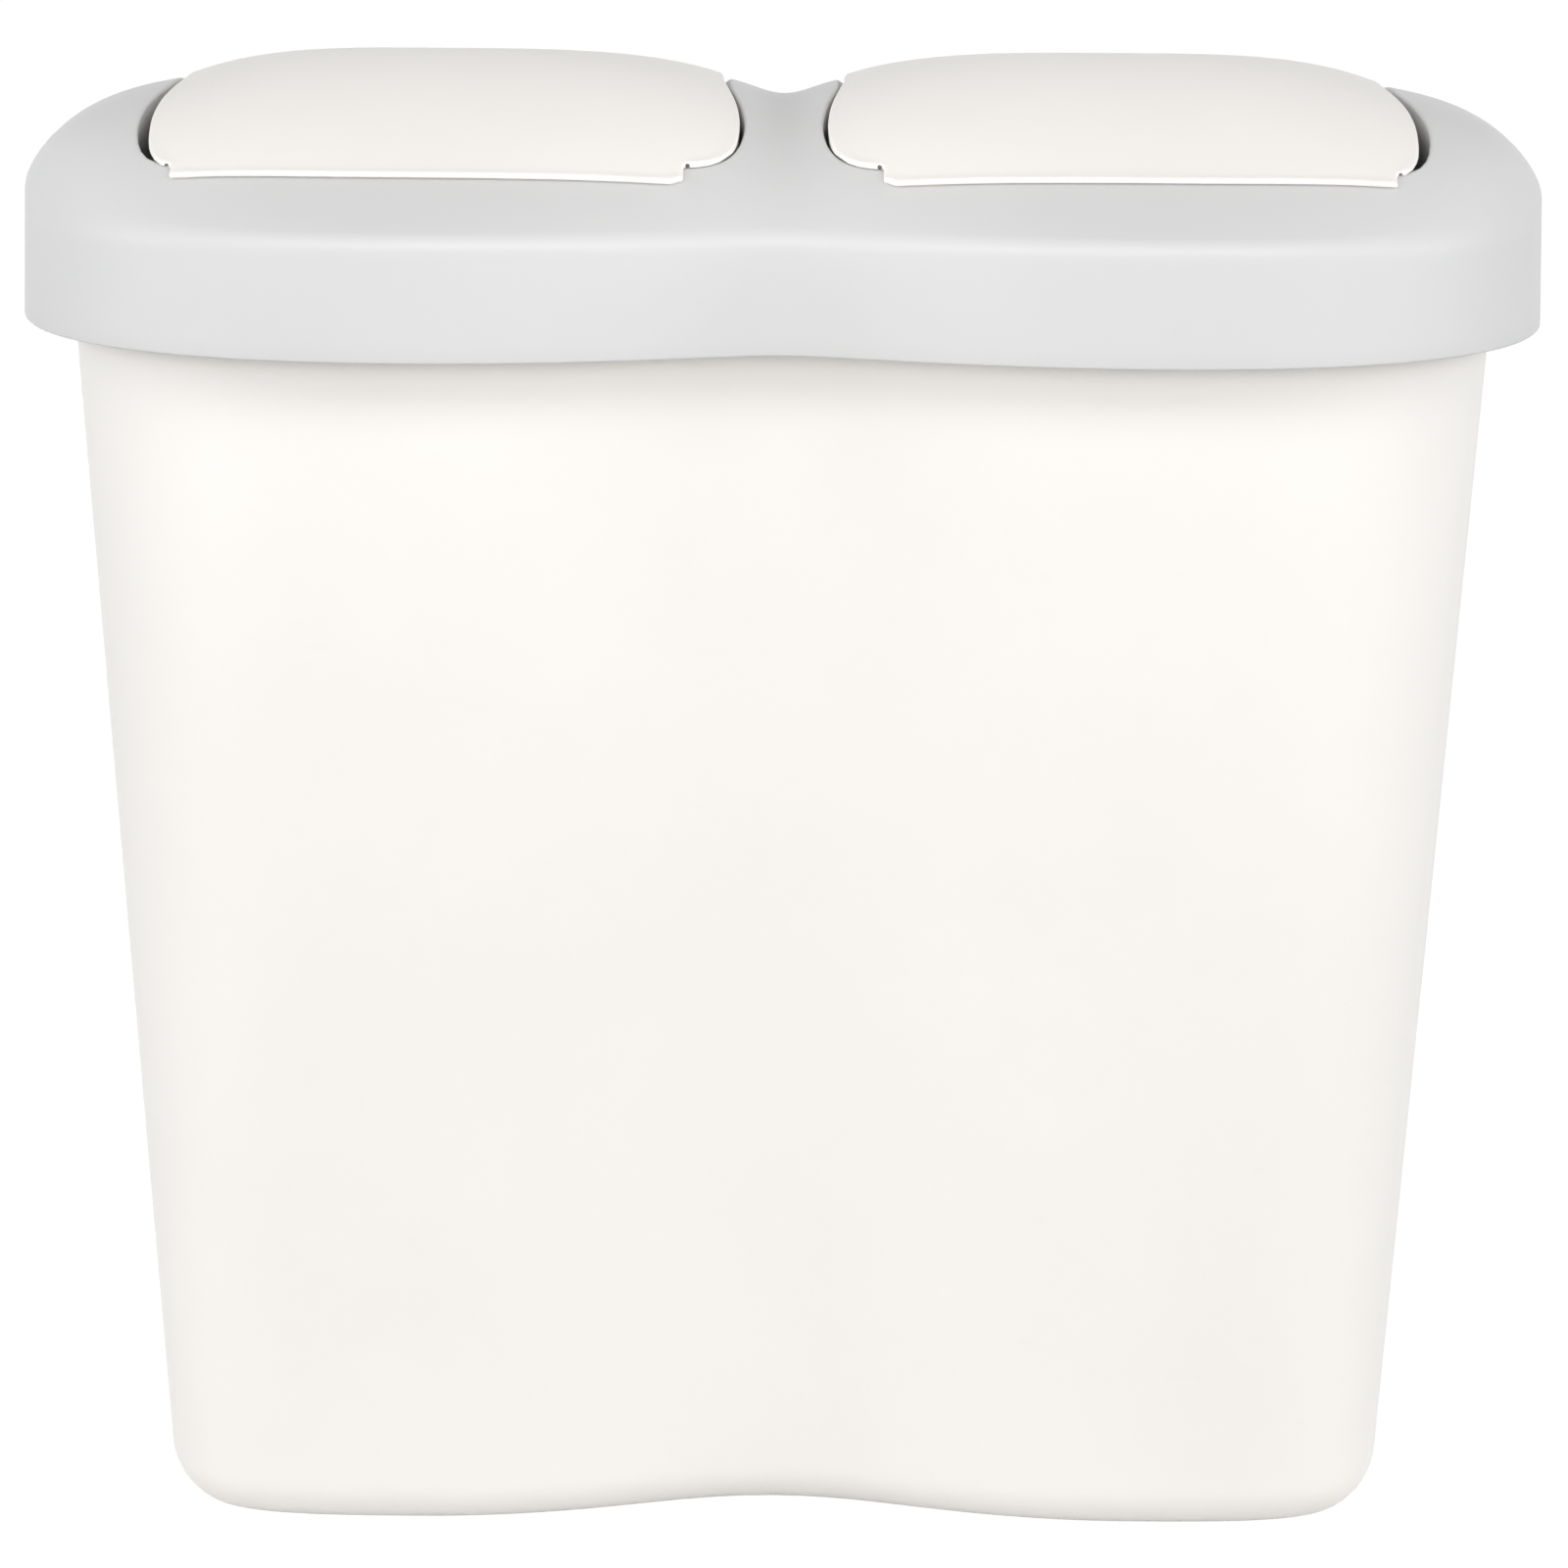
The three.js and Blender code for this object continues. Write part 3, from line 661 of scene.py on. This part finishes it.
bpy.ops.mesh.select_all(action="SELECT")
bpy.ops.mesh.remove_doubles(threshold=1e-6)


def take_ring(piece, points):
    """Selects the open edge that runs through these points and numbers its vertices anew."""
    tree = KDTree(len(points))
    for i, point in enumerate(points):
        tree.insert(point, i)
    tree.balance()
    bpy.ops.mesh.select_mode(type="EDGE")
    bpy.ops.mesh.select_all(action="DESELECT")
    shaped = bmesh.from_edit_mesh(piece.data)
    number = shaped.verts.layers.int["number"]
    found = set()
    for vertex in shaped.verts:
        _, i, distance = tree.find(vertex.co)
        if distance < 1e-5:
            vertex[number] = i
            found.add(vertex)
    for edge in shaped.edges:
        if edge.is_boundary and found.issuperset(edge.verts):
            edge.select_set(True)
    bmesh.update_edit_mesh(piece.data)


take_ring(lid, [at(x, y, dome_height(x, y)) for x, y in shoulder])
skirt = bin_outline(lid_squareness, 0)
skirt_top = bin_outline(lid_squareness, skirt_draft)
beyond = bin_outline(lid_squareness, shoulder_inset + 1)
span = shoulder_inset - skirt_draft
ends = [dome_height(x, y) for x, y in shoulder]
corners = [end - span * (dome_height(*p) - end) for end, p in zip(ends, beyond)]
rings = []
for step in range(8, -1, -1):
    t = step / 9
    ring = []
    for (x0, y0), (x1, y1), end, corner in zip(skirt_top, shoulder, ends, corners):
        x, y = x0 + (x1 - x0) * t * t, y0 + (y1 - y0) * t * t
        ring.append(at(x, y, (1 - t) ** 2 * (corner - span) + 2 * t * (1 - t) * corner + t * t * end))
    rings.append(ring)
for i in range(1, 7):
    ring = []
    for (x0, y0), (x1, y1), corner in zip(skirt_top, skirt, corners):
        share = i / 6
        z = corner - span + (skirt_bottom - corner + span) * share
        ring.append(at(x0 + (x1 - x0) * share, y0 + (y1 - y0) * share, z))
    rings.append(ring)
draw_rings(lid, rings)
bpy.ops.mesh.select_all(action="SELECT")
bpy.ops.mesh.normals_make_consistent(inside=False)
bpy.ops.object.mode_set(mode="OBJECT")


def thicken(piece, wall):
    """Gives an open skin its wall, on the inside."""
    bpy.context.view_layer.objects.active = piece
    solidify = piece.modifiers.new("wall", "SOLIDIFY")
    solidify.thickness = wall / 1000
    solidify.offset = -1
    solidify.use_even_offset = True
    bpy.ops.object.modifier_apply(modifier=solidify.name)


def round_edges(piece, radius, where, segments=3):
    """Bevels the sharp edges whose middle passes the test."""
    bpy.ops.object.select_all(action="DESELECT")
    piece.select_set(True)
    bpy.context.view_layer.objects.active = piece
    bpy.ops.object.mode_set(mode="EDIT")
    bpy.ops.mesh.select_mode(type="EDGE")
    bpy.ops.mesh.select_all(action="DESELECT")
    shaped = bmesh.from_edit_mesh(piece.data)
    for edge in shaped.edges:
        middle = (edge.verts[0].co + edge.verts[1].co) * 500
        if where(middle) and edge.calc_face_angle(0) > 1:
            edge.select_set(True)
    bmesh.update_edit_mesh(piece.data)
    bpy.ops.mesh.bevel(offset=radius / 1000, segments=segments, affect="EDGES")
    bpy.ops.object.mode_set(mode="OBJECT")


thicken(lid, lid_wall)
round_edges(lid, 0.85, lambda p: abs(p.z - skirt_bottom) < 0.4)
round_edges(lid, 0.6, lambda p: abs(p.z - flange_bottom) < 0.4 and abs(p.y) < opening_half_depth + 3)
bpy.ops.object.shade_smooth_by_angle(angle=math.radians(32))

rib_outside = bin_outline(lid_squareness, 8.5)
rib_inside = bin_outline(lid_squareness, 10.5)
rib_bottom = rim_top + 0.3
into_lid = -lid_wall / 2
rings = []
for outline, foot in ((rib_outside, 0.5), (rib_outside, 0), (rib_inside, 0), (rib_inside, 0.5)):
    inward = 0.5 if not foot else 0
    blend = 0.25 if outline is rib_outside else -0.25
    moved = [
        (x + (u - x) * inward * abs(blend) * 2, y + (v - y) * inward * abs(blend) * 2)
        for (x, y), (u, v) in zip(outline, rib_inside if outline is rib_outside else rib_outside)
    ]
    rings.append([at(x, y, rib_bottom + foot) for x, y in moved])
top_outside = [at(x, y, dome_height(x, y) + into_lid) for x, y in rib_outside]
top_inside = [at(x, y, dome_height(x, y) + into_lid) for x, y in rib_inside]
rib = begin_ring("seat_rib", top_outside)
draw_rings(rib, [*rings, top_inside, top_outside])
close_up(rib)


hinge_y = 30
hinge_height = 478
hinge_bore = 3.3
plate_half_width = 8


def pivot_plate(name, inner, outer, top_height):
    """A plate about the hinge line, round below the pin, bored for it and running up into the skin."""
    rings = []
    edge = 0.5 if outer > inner else -0.5
    sections = [(inner, 0, 0), (inner, 1, edge), (inner + edge, 1, 0), (outer - edge, 1, 0)]
    for x, full, less in [*sections, (outer, 1, edge), (outer, 0, 0), (inner, 0, 0)]:
        ring = []
        for across, up in arc(1, 32, 0, 360)[:-1]:
            y, z = hinge_bore * across, hinge_bore * up
            if full:
                y, z = (plate_half_width - abs(less)) * across, (plate_half_width - abs(less)) * up
                if up > 0:
                    square = 1 / max(abs(across), up)
                    y = y * square
                    z = (top_height(x, hinge_y + y) - hinge_height) * up * square
            ring.append(at(x, hinge_y + y, hinge_height + z))
        rings.append(ring)
    plate = begin_ring(name, rings[0])
    draw_rings(plate, rings[1:])
    close_up(plate)
    return plate


def subtract(piece, cutter):
    """Cuts one piece's shape out of another."""
    bpy.context.view_layer.objects.active = piece
    cut = piece.modifiers.new("cut", "BOOLEAN")
    cut.object = cutter
    cut.operation = "DIFFERENCE"
    cut.solver = "EXACT"
    bpy.ops.object.modifier_apply(modifier=cut.name)
    bpy.data.objects.remove(cutter)


def drill(piece, x):
    """Bores a wall on the hinge line at x."""
    bpy.ops.object.select_all(action="DESELECT")
    bpy.ops.mesh.primitive_cylinder_add(
        vertices=32,
        radius=hinge_bore / 1000,
        depth=0.008,
        location=at(x, hinge_y, hinge_height),
        rotation=(0, math.pi / 2, 0),
    )
    drill_bit = bpy.context.active_object
    settle(drill_bit)
    subtract(piece, drill_bit)


def under_lid(x, y):
    return dome_height(x, y) - lid_wall / 2


bosses = []
for hand in (-1, 1):
    face = opening_x + hand * (opening_half_width * tapered(hinge_y) - 0.1)
    for side in (-1, 1):
        drill(lid, side * (face + hand * lid_wall / 2))
    bosses.append(pivot_plate("boss", face + hand * 0.6, face + hand * 3.2, under_lid))
bosses += [mirrored(made, "boss_left") for made in bosses]
join(lid, rib, *bosses)


def lid_wear(p):
    return near(p.z, skirt_bottom, 2.5)


lid_grey = (0.678, 0.678, 0.676)
grey_plastic = moulded("grey_plastic", lid_grey, (0.6, 0.6, 0.595), 0.4, 0.00001)
dress(lid, grey_plastic, "lid", ["lid_ring"], lid_wear)

# ---- Hinge pins ----
# Short headed pins run in the lid's bosses and are held in the flap's ears.

pin_radius = 3
rings = []
pin_profile = [(-6.6, 0.8), (-6.6, 2.4), (-6, pin_radius), (3.7, pin_radius), (3.7, 4.6), (4.1, 5), (4.9, 5)]
pin_profile += [(5.3, 4.6), (5.3, 0.8)]
for along, radius in pin_profile:
    ring = []
    for across, up in arc(radius, 24, 0, 360)[:-1]:
        x = opening_x + opening_half_width * tapered(hinge_y) + along
        ring.append(at(x, hinge_y + across, hinge_height + up))
    rings.append(ring)
pin_outer = begin_ring("pin_right_outer", rings[0])
draw_rings(pin_outer, rings[1:])
close_up(pin_outer)
pin_inner = mirrored(pin_outer, "pin_right_inner")
pin_inner.location.x = 2 * opening_x / 1000
settle(pin_inner)
pins = {"right": (pin_outer, pin_inner)}
pins["left"] = (mirrored(pin_outer, "pin_left_outer"), mirrored(pin_inner, "pin_left_inner"))
for side, pair in pins.items():
    for pin, end in zip(pair, ("outer", "inner")):
        dress(pin, grey_plastic, f"{side}_flap", [f"hinge_pin_{side}_{end}"])

# ---- Flaps ----
# A thin cream dome fills each opening with a hairline of play, its edge turned down into a web. In
# front it runs out into a lip that lies on the lid, the place where a hand lifts it.

flap_x = 115.1
flap_half_width = 100.2
flap_half_depth = 95.4
flap_front = 99.5
flap_squareness = 10
flap_rear_squareness = 2.8
flap_stand = 1.1
flap_crown = 6
crown_squareness = 4
flap_wall = 2
flap_edge = 1.4
web_depth = 9
web_front = 94.6
lip_half_width = 86
lip_shift = 4.4
lip_front = 109
lip_bow = 3
outer_bow = 6.2
corner_skew = 1.6
lip_nose = 1.2
lip_gap = 0.6
lip_lift = 1.3


def flap_seat(x, y):
    """Height of the right flap's outside without the lip's lift."""
    across = min(1, abs(x - flap_x) / (flap_half_width * tapered(y)))
    along = min(1, abs(y) / 104)
    return dome_height(x, y) + flap_stand + flap_crown * (1 - across**crown_squareness) * (1 - along**2)


def flap_height(x, y):
    """Height of the right flap's outside, which rises smoothly to the lip's nose."""
    forward = max(0, min(1, (-60 - y) / 46))
    return flap_seat(x, y) + lip_lift * forward**2


def lip_line(across):
    """Front edge of the lip, bowed like the lid's shoulder."""
    bow = lip_bow if across < lip_shift else outer_bow
    return -lip_front + bow * abs((across - lip_shift) / 84) ** 3.2


def web_y(across):
    """Front edge of the flap's web at a distance from its middle."""
    share = min(1, abs(across / flap_half_width))
    return -web_front * (1 - share**front_squareness) ** (1 / front_squareness)


steps = 150


def flap_plan(angle, front, front_power):
    return rounded(angle, flap_half_width, front, flap_half_depth, front_power, flap_rear_squareness)


def corner_angle(reach):
    """Where the front of the flap's plan passes this far from the middle."""
    angle = -math.pi / 2
    while flap_plan(angle, flap_front, flap_squareness)[0] < reach:
        angle += 0.001
    return angle


def skewed(point):
    """The lobe's outer front corner stands a little further forward than its inner one."""
    x, y = point
    return x, y - corner_skew * x / flap_half_width * max(0, min(1, (-60 - y) / 30))


lip_outer = lip_half_width + lip_shift
lip_inner = lip_half_width - lip_shift
first = corner_angle(lip_outer)
last = math.pi - corner_angle(lip_inner)
edge = []
web = []
for i in range(steps + 1):
    angle = first + (last - first) * i / steps
    edge.append(skewed(flap_plan(angle, flap_front, flap_squareness)))
    web.append(flap_plan(angle, web_front, front_squareness))


def lip_end(reach, start_y):
    """The lip's rounded end, from the flap's corner to its front line, on the right."""
    end_y = lip_line(reach)
    points = [(reach, start_y + (end_y + lip_nose - start_y) * i / 4) for i in range(1, 4)]
    for across, along in arc(lip_nose, 4, 0, -90):
        points.append((reach - lip_nose + across, end_y + lip_nose + along))
    return points


inner_end = [(-x, y) for x, y in lip_end(lip_inner, edge[-1][1])]
outer_end = lip_end(lip_outer, edge[0][1])
nose_steps = 60
nose_from = lip_nose - lip_inner
nose_to = lip_outer - lip_nose
nose = []
for i in range(1, nose_steps):
    across = nose_from + (nose_to - nose_from) * i / nose_steps
    nose.append((across, lip_line(across)))
lip = inner_end + nose + outer_end[::-1]
edge += lip
for i in range(len(lip)):
    share = (i + 1) / (len(lip) + 1)
    across = web[steps][0] + (web[0][0] - web[steps][0]) * share
    web.append((across, web_y(across)))


def moved_in(outline, distance):
    moved = []
    for i, (x, y) in enumerate(outline):
        x0, y0 = outline[i - 1]
        x1, y1 = outline[(i + 1) % len(outline)]
        length = math.hypot(x1 - x0, y1 - y0)
        moved.append((x - (y1 - y0) / length * distance, y + (x1 - x0) / length * distance))
    return moved


def flap_ring(outline, height):
    return [at(flap_x + x, y, height(flap_x + x, y)) for x, y in outline]


crown_edge = moved_in(edge, flap_edge)
rings = []
for i in range(22):
    share = math.sin(math.pi / 2 * (i + 1) / 22)
    share = 0.5 * share + 0.5 * (i + 1) / 22
    rings.append(flap_ring([(x * share, y * share) for x, y in crown_edge], flap_height))
crown_heights = [flap_height(flap_x + x, y) for x, y in crown_edge]
for across, up in arc(flap_edge, 5, 90, 0)[1:]:
    ring = []
    for (x, y), z in zip(moved_in(edge, flap_edge - across), crown_heights):
        ring.append(at(flap_x + x, y, z - flap_edge + up))
    rings.append(ring)
for below, inward in ((0.5, 0), (0.15, 0.15), (0, 0.5), (0, None)):
    ring = []
    points = web if inward is None else moved_in(edge, inward)
    for (x, y), (wx, wy), z in zip(points, web, crown_heights):
        over_lid = max(0, min(1, (-y - 80) / 8))
        free = z - flap_edge - 1.2
        seated = dome_height(flap_x + x, y) + lip_gap
        ring.append(at(flap_x + x, y, free + (seated - free) * over_lid + below))
    rings.append(ring)


def web_ring(inward, rise):
    return flap_ring(moved_in(web, inward), lambda x, y: flap_seat(x, y) - web_depth + rise)


rings += [web_ring(0, 0.5), web_ring(0.15, 0.15), web_ring(0.5, 0), web_ring(flap_wall - 0.5, 0)]
rings += [web_ring(flap_wall - 0.15, 0.15), web_ring(flap_wall, 0.5), web_ring(flap_wall, web_depth - 3.2)]
under = moved_in(web, flap_wall + 0.8)
for i in range(14, 0, -1):
    share = i / 14
    ring = flap_ring([(x * share, y * share) for x, y in under], lambda x, y: flap_seat(x, y) - flap_wall)
    rings.append(ring)
flap_right = begin_ring("flap_right", rings[0])
draw_rings(flap_right, rings[1:])
close_up(flap_right, 40)


def under_flap(x, y):
    return flap_seat(x, y) - flap_wall / 2


ears = []
for hand in (-1, 1):
    face = flap_x + hand * flap_half_width * tapered(hinge_y)
    drill(flap_right, face - hand * flap_wall / 2)
    ears.append(pivot_plate("ear", face - hand * 0.4, face - hand * 3, under_flap))
join(flap_right, *ears)
for x, y in ((lip_outer + 1.3, edge[0][1]), (-lip_inner - 1.3, edge[steps][1])):
    bpy.ops.object.select_all(action="DESELECT")
    place = at(flap_x + x, y + 1, dome_height(flap_x + x, y) + 1.6)
    bpy.ops.mesh.primitive_cylinder_add(
        vertices=16, radius=0.0008, depth=0.008, location=place, rotation=(math.pi / 2, 0, 0)
    )
    pit = bpy.context.active_object
    settle(pit)
    subtract(flap_right, pit)
flap_left = mirrored(flap_right, "flap_left")


def flap_wear(p):
    across = abs(p.x) - flap_x
    return near(p.y, lip_line(across), 2.2) if -lip_inner < across < lip_outer else 0


dress(flap_right, cream_plastic, "right_flap", ["flap_right"], flap_wear)
dress(flap_left, cream_plastic, "left_flap", ["flap_left"], flap_wear)

# ---- Floor, light and camera ----
# A bare pale studio: the floor and the backdrop are white to the camera, a dim zenith shades the
# upper faces, and one lamp above the lid makes the bright line along its shoulder.

world = bpy.data.worlds.new("studio")
bpy.context.scene.world = world
world.use_nodes = True
sky = world.node_tree
sky.nodes.clear()
ground = sky.nodes.new("ShaderNodeTexCoord")
cool, warm = (0.985, 1.0, 1.01), (1.04, 1.0, 0.955)
glows = [(0, 4, 20, 3.2, cool), (35, 4, 20, 4.05, cool), (-35, 4, 20, 4.05, cool)]
glows += [(90, 12, 20, 5.7, cool), (-90, 12, 20, 5.7, cool), (0, 90, 4, 0.17, warm), (180, 4, 12, 2.6, cool)]
total = None
for azimuth, elevation, power, strength, tint in glows:
    a, e = math.radians(azimuth), math.radians(elevation)
    facing = sky.nodes.new("ShaderNodeVectorMath")
    facing.operation = "DOT_PRODUCT"
    facing.inputs[1].default_value = (math.cos(e) * math.sin(a), -math.cos(e) * math.cos(a), math.sin(e))
    sky.links.new(ground.outputs["Generated"], facing.inputs[0])
    ahead = sky.nodes.new("ShaderNodeMath")
    ahead.operation = "MAXIMUM"
    ahead.inputs[1].default_value = 0
    sky.links.new(facing.outputs["Value"], ahead.inputs[0])
    falloff = sky.nodes.new("ShaderNodeMath")
    falloff.operation = "POWER"
    falloff.inputs[1].default_value = power
    sky.links.new(ahead.outputs[0], falloff.inputs[0])
    summed = sky.nodes.new("ShaderNodeVectorMath")
    summed.operation = "MULTIPLY_ADD"
    summed.inputs[1].default_value = [strength * c for c in tint]
    summed.inputs[2].default_value = (0.02, 0.018, 0.016)
    sky.links.new(falloff.outputs[0], summed.inputs[0])
    if total:
        sky.links.new(total, summed.inputs[2])
    total = summed.outputs[0]
lit = sky.nodes.new("ShaderNodeBackground")
sky.links.new(total, lit.inputs["Color"])
plain = sky.nodes.new("ShaderNodeBackground")
plain.inputs["Color"].default_value = (1, 1, 1, 1)
path_kind = sky.nodes.new("ShaderNodeLightPath")
choose = sky.nodes.new("ShaderNodeMixShader")
out = sky.nodes.new("ShaderNodeOutputWorld")


def seen_plain(tree, kinds, shares):
    """How far a ray sees the plain white background: each kind of ray has its share."""
    total = None
    for kind, share in zip(kinds, shares):
        part = tree.nodes.new("ShaderNodeMath")
        part.operation = "MULTIPLY_ADD"
        part.inputs[1].default_value = share
        part.inputs[2].default_value = 0
        part.use_clamp = True
        tree.links.new(kind, part.inputs[0])
        if total:
            tree.links.new(total, part.inputs[2])
        total = part.outputs[0]
    return total


plain_rays = ("Is Camera Ray", "Is Glossy Ray", "Is Transmission Ray")
kinds = [path_kind.outputs[name] for name in plain_rays]
sky.links.new(seen_plain(sky, kinds, (1, 1, 1)), choose.inputs["Fac"])
sky.links.new(lit.outputs[0], choose.inputs[1])
sky.links.new(plain.outputs[0], choose.inputs[2])
sky.links.new(choose.outputs[0], out.inputs["Surface"])

bpy.ops.object.select_all(action="DESELECT")
bpy.ops.mesh.primitive_plane_add(size=24, location=(0, 0, 0))
floor = bpy.context.active_object
floor.name = "floor"
floor_material = bpy.data.materials.new("studio_floor")
floor_material.use_nodes = True
tree = floor_material.node_tree
matt = next(n for n in tree.nodes if n.type == "BSDF_PRINCIPLED")
matt.inputs["Base Color"].default_value = (0.68, 0.67, 0.66, 1)
matt.inputs["Roughness"].default_value = 0.9
matt.inputs["Specular IOR Level"].default_value = 0.0
glow = tree.nodes.new("ShaderNodeEmission")
glow.inputs["Color"].default_value = (1, 1, 1, 1)
glow.inputs["Strength"].default_value = 1.13
seen = tree.nodes.new("ShaderNodeLightPath")
mixed = tree.nodes.new("ShaderNodeMixShader")
surface = next(n for n in tree.nodes if n.type == "OUTPUT_MATERIAL")
kinds = [seen.outputs[name] for name in plain_rays]
tree.links.new(seen_plain(tree, kinds, (0.86, 0.86, 0.86)), mixed.inputs["Fac"])
tree.links.new(matt.outputs[0], mixed.inputs[1])
tree.links.new(glow.outputs[0], mixed.inputs[2])
tree.links.new(mixed.outputs[0], surface.inputs["Surface"])
floor.data.materials.append(floor_material)


def lamp(name, place, target, size, power, colour):
    """A broad lamp that the camera does not see."""
    light = bpy.data.lights.new(name, "AREA")
    light.shape = "RECTANGLE"
    light.size, light.size_y = size
    light.energy = power
    light.color = colour
    made = bpy.data.objects.new(name, light)
    bpy.context.scene.collection.objects.link(made)
    made.location = place
    made.rotation_euler = (Vector(target) - Vector(place)).to_track_quat("-Z", "Y").to_euler()
    made.visible_camera = False
    return made


lamp("strip", (0, -0.64, 0.93), (0, -0.1, 0.45), (1.1, 0.25), 2.4, (1, 0.99, 0.98))

tilt = math.radians(12)
roll = math.radians(0.45)
towards = Vector((0, math.cos(tilt), -math.sin(tilt)))
above = Vector((0, math.sin(tilt), math.cos(tilt)))
right = Vector((1, 0, 0)) * math.cos(roll) + above * math.sin(roll)
above = above * math.cos(roll) - Vector((1, 0, 0)) * math.sin(roll)
camera = bpy.data.objects.new("camera", bpy.data.cameras.new("camera"))
bpy.context.scene.collection.objects.link(camera)
camera.matrix_world = Matrix.Translation((0, -2.1519, 0.7124)) @ Matrix((right, above, -towards)).transposed().to_4x4()
camera.data.lens = 141.13
camera.data.sensor_width = 36
camera.data.shift_x = 0.00325
camera.data.shift_y = -0.0134
bpy.context.scene.camera = camera
bpy.context.scene.view_settings.view_transform = "Standard"
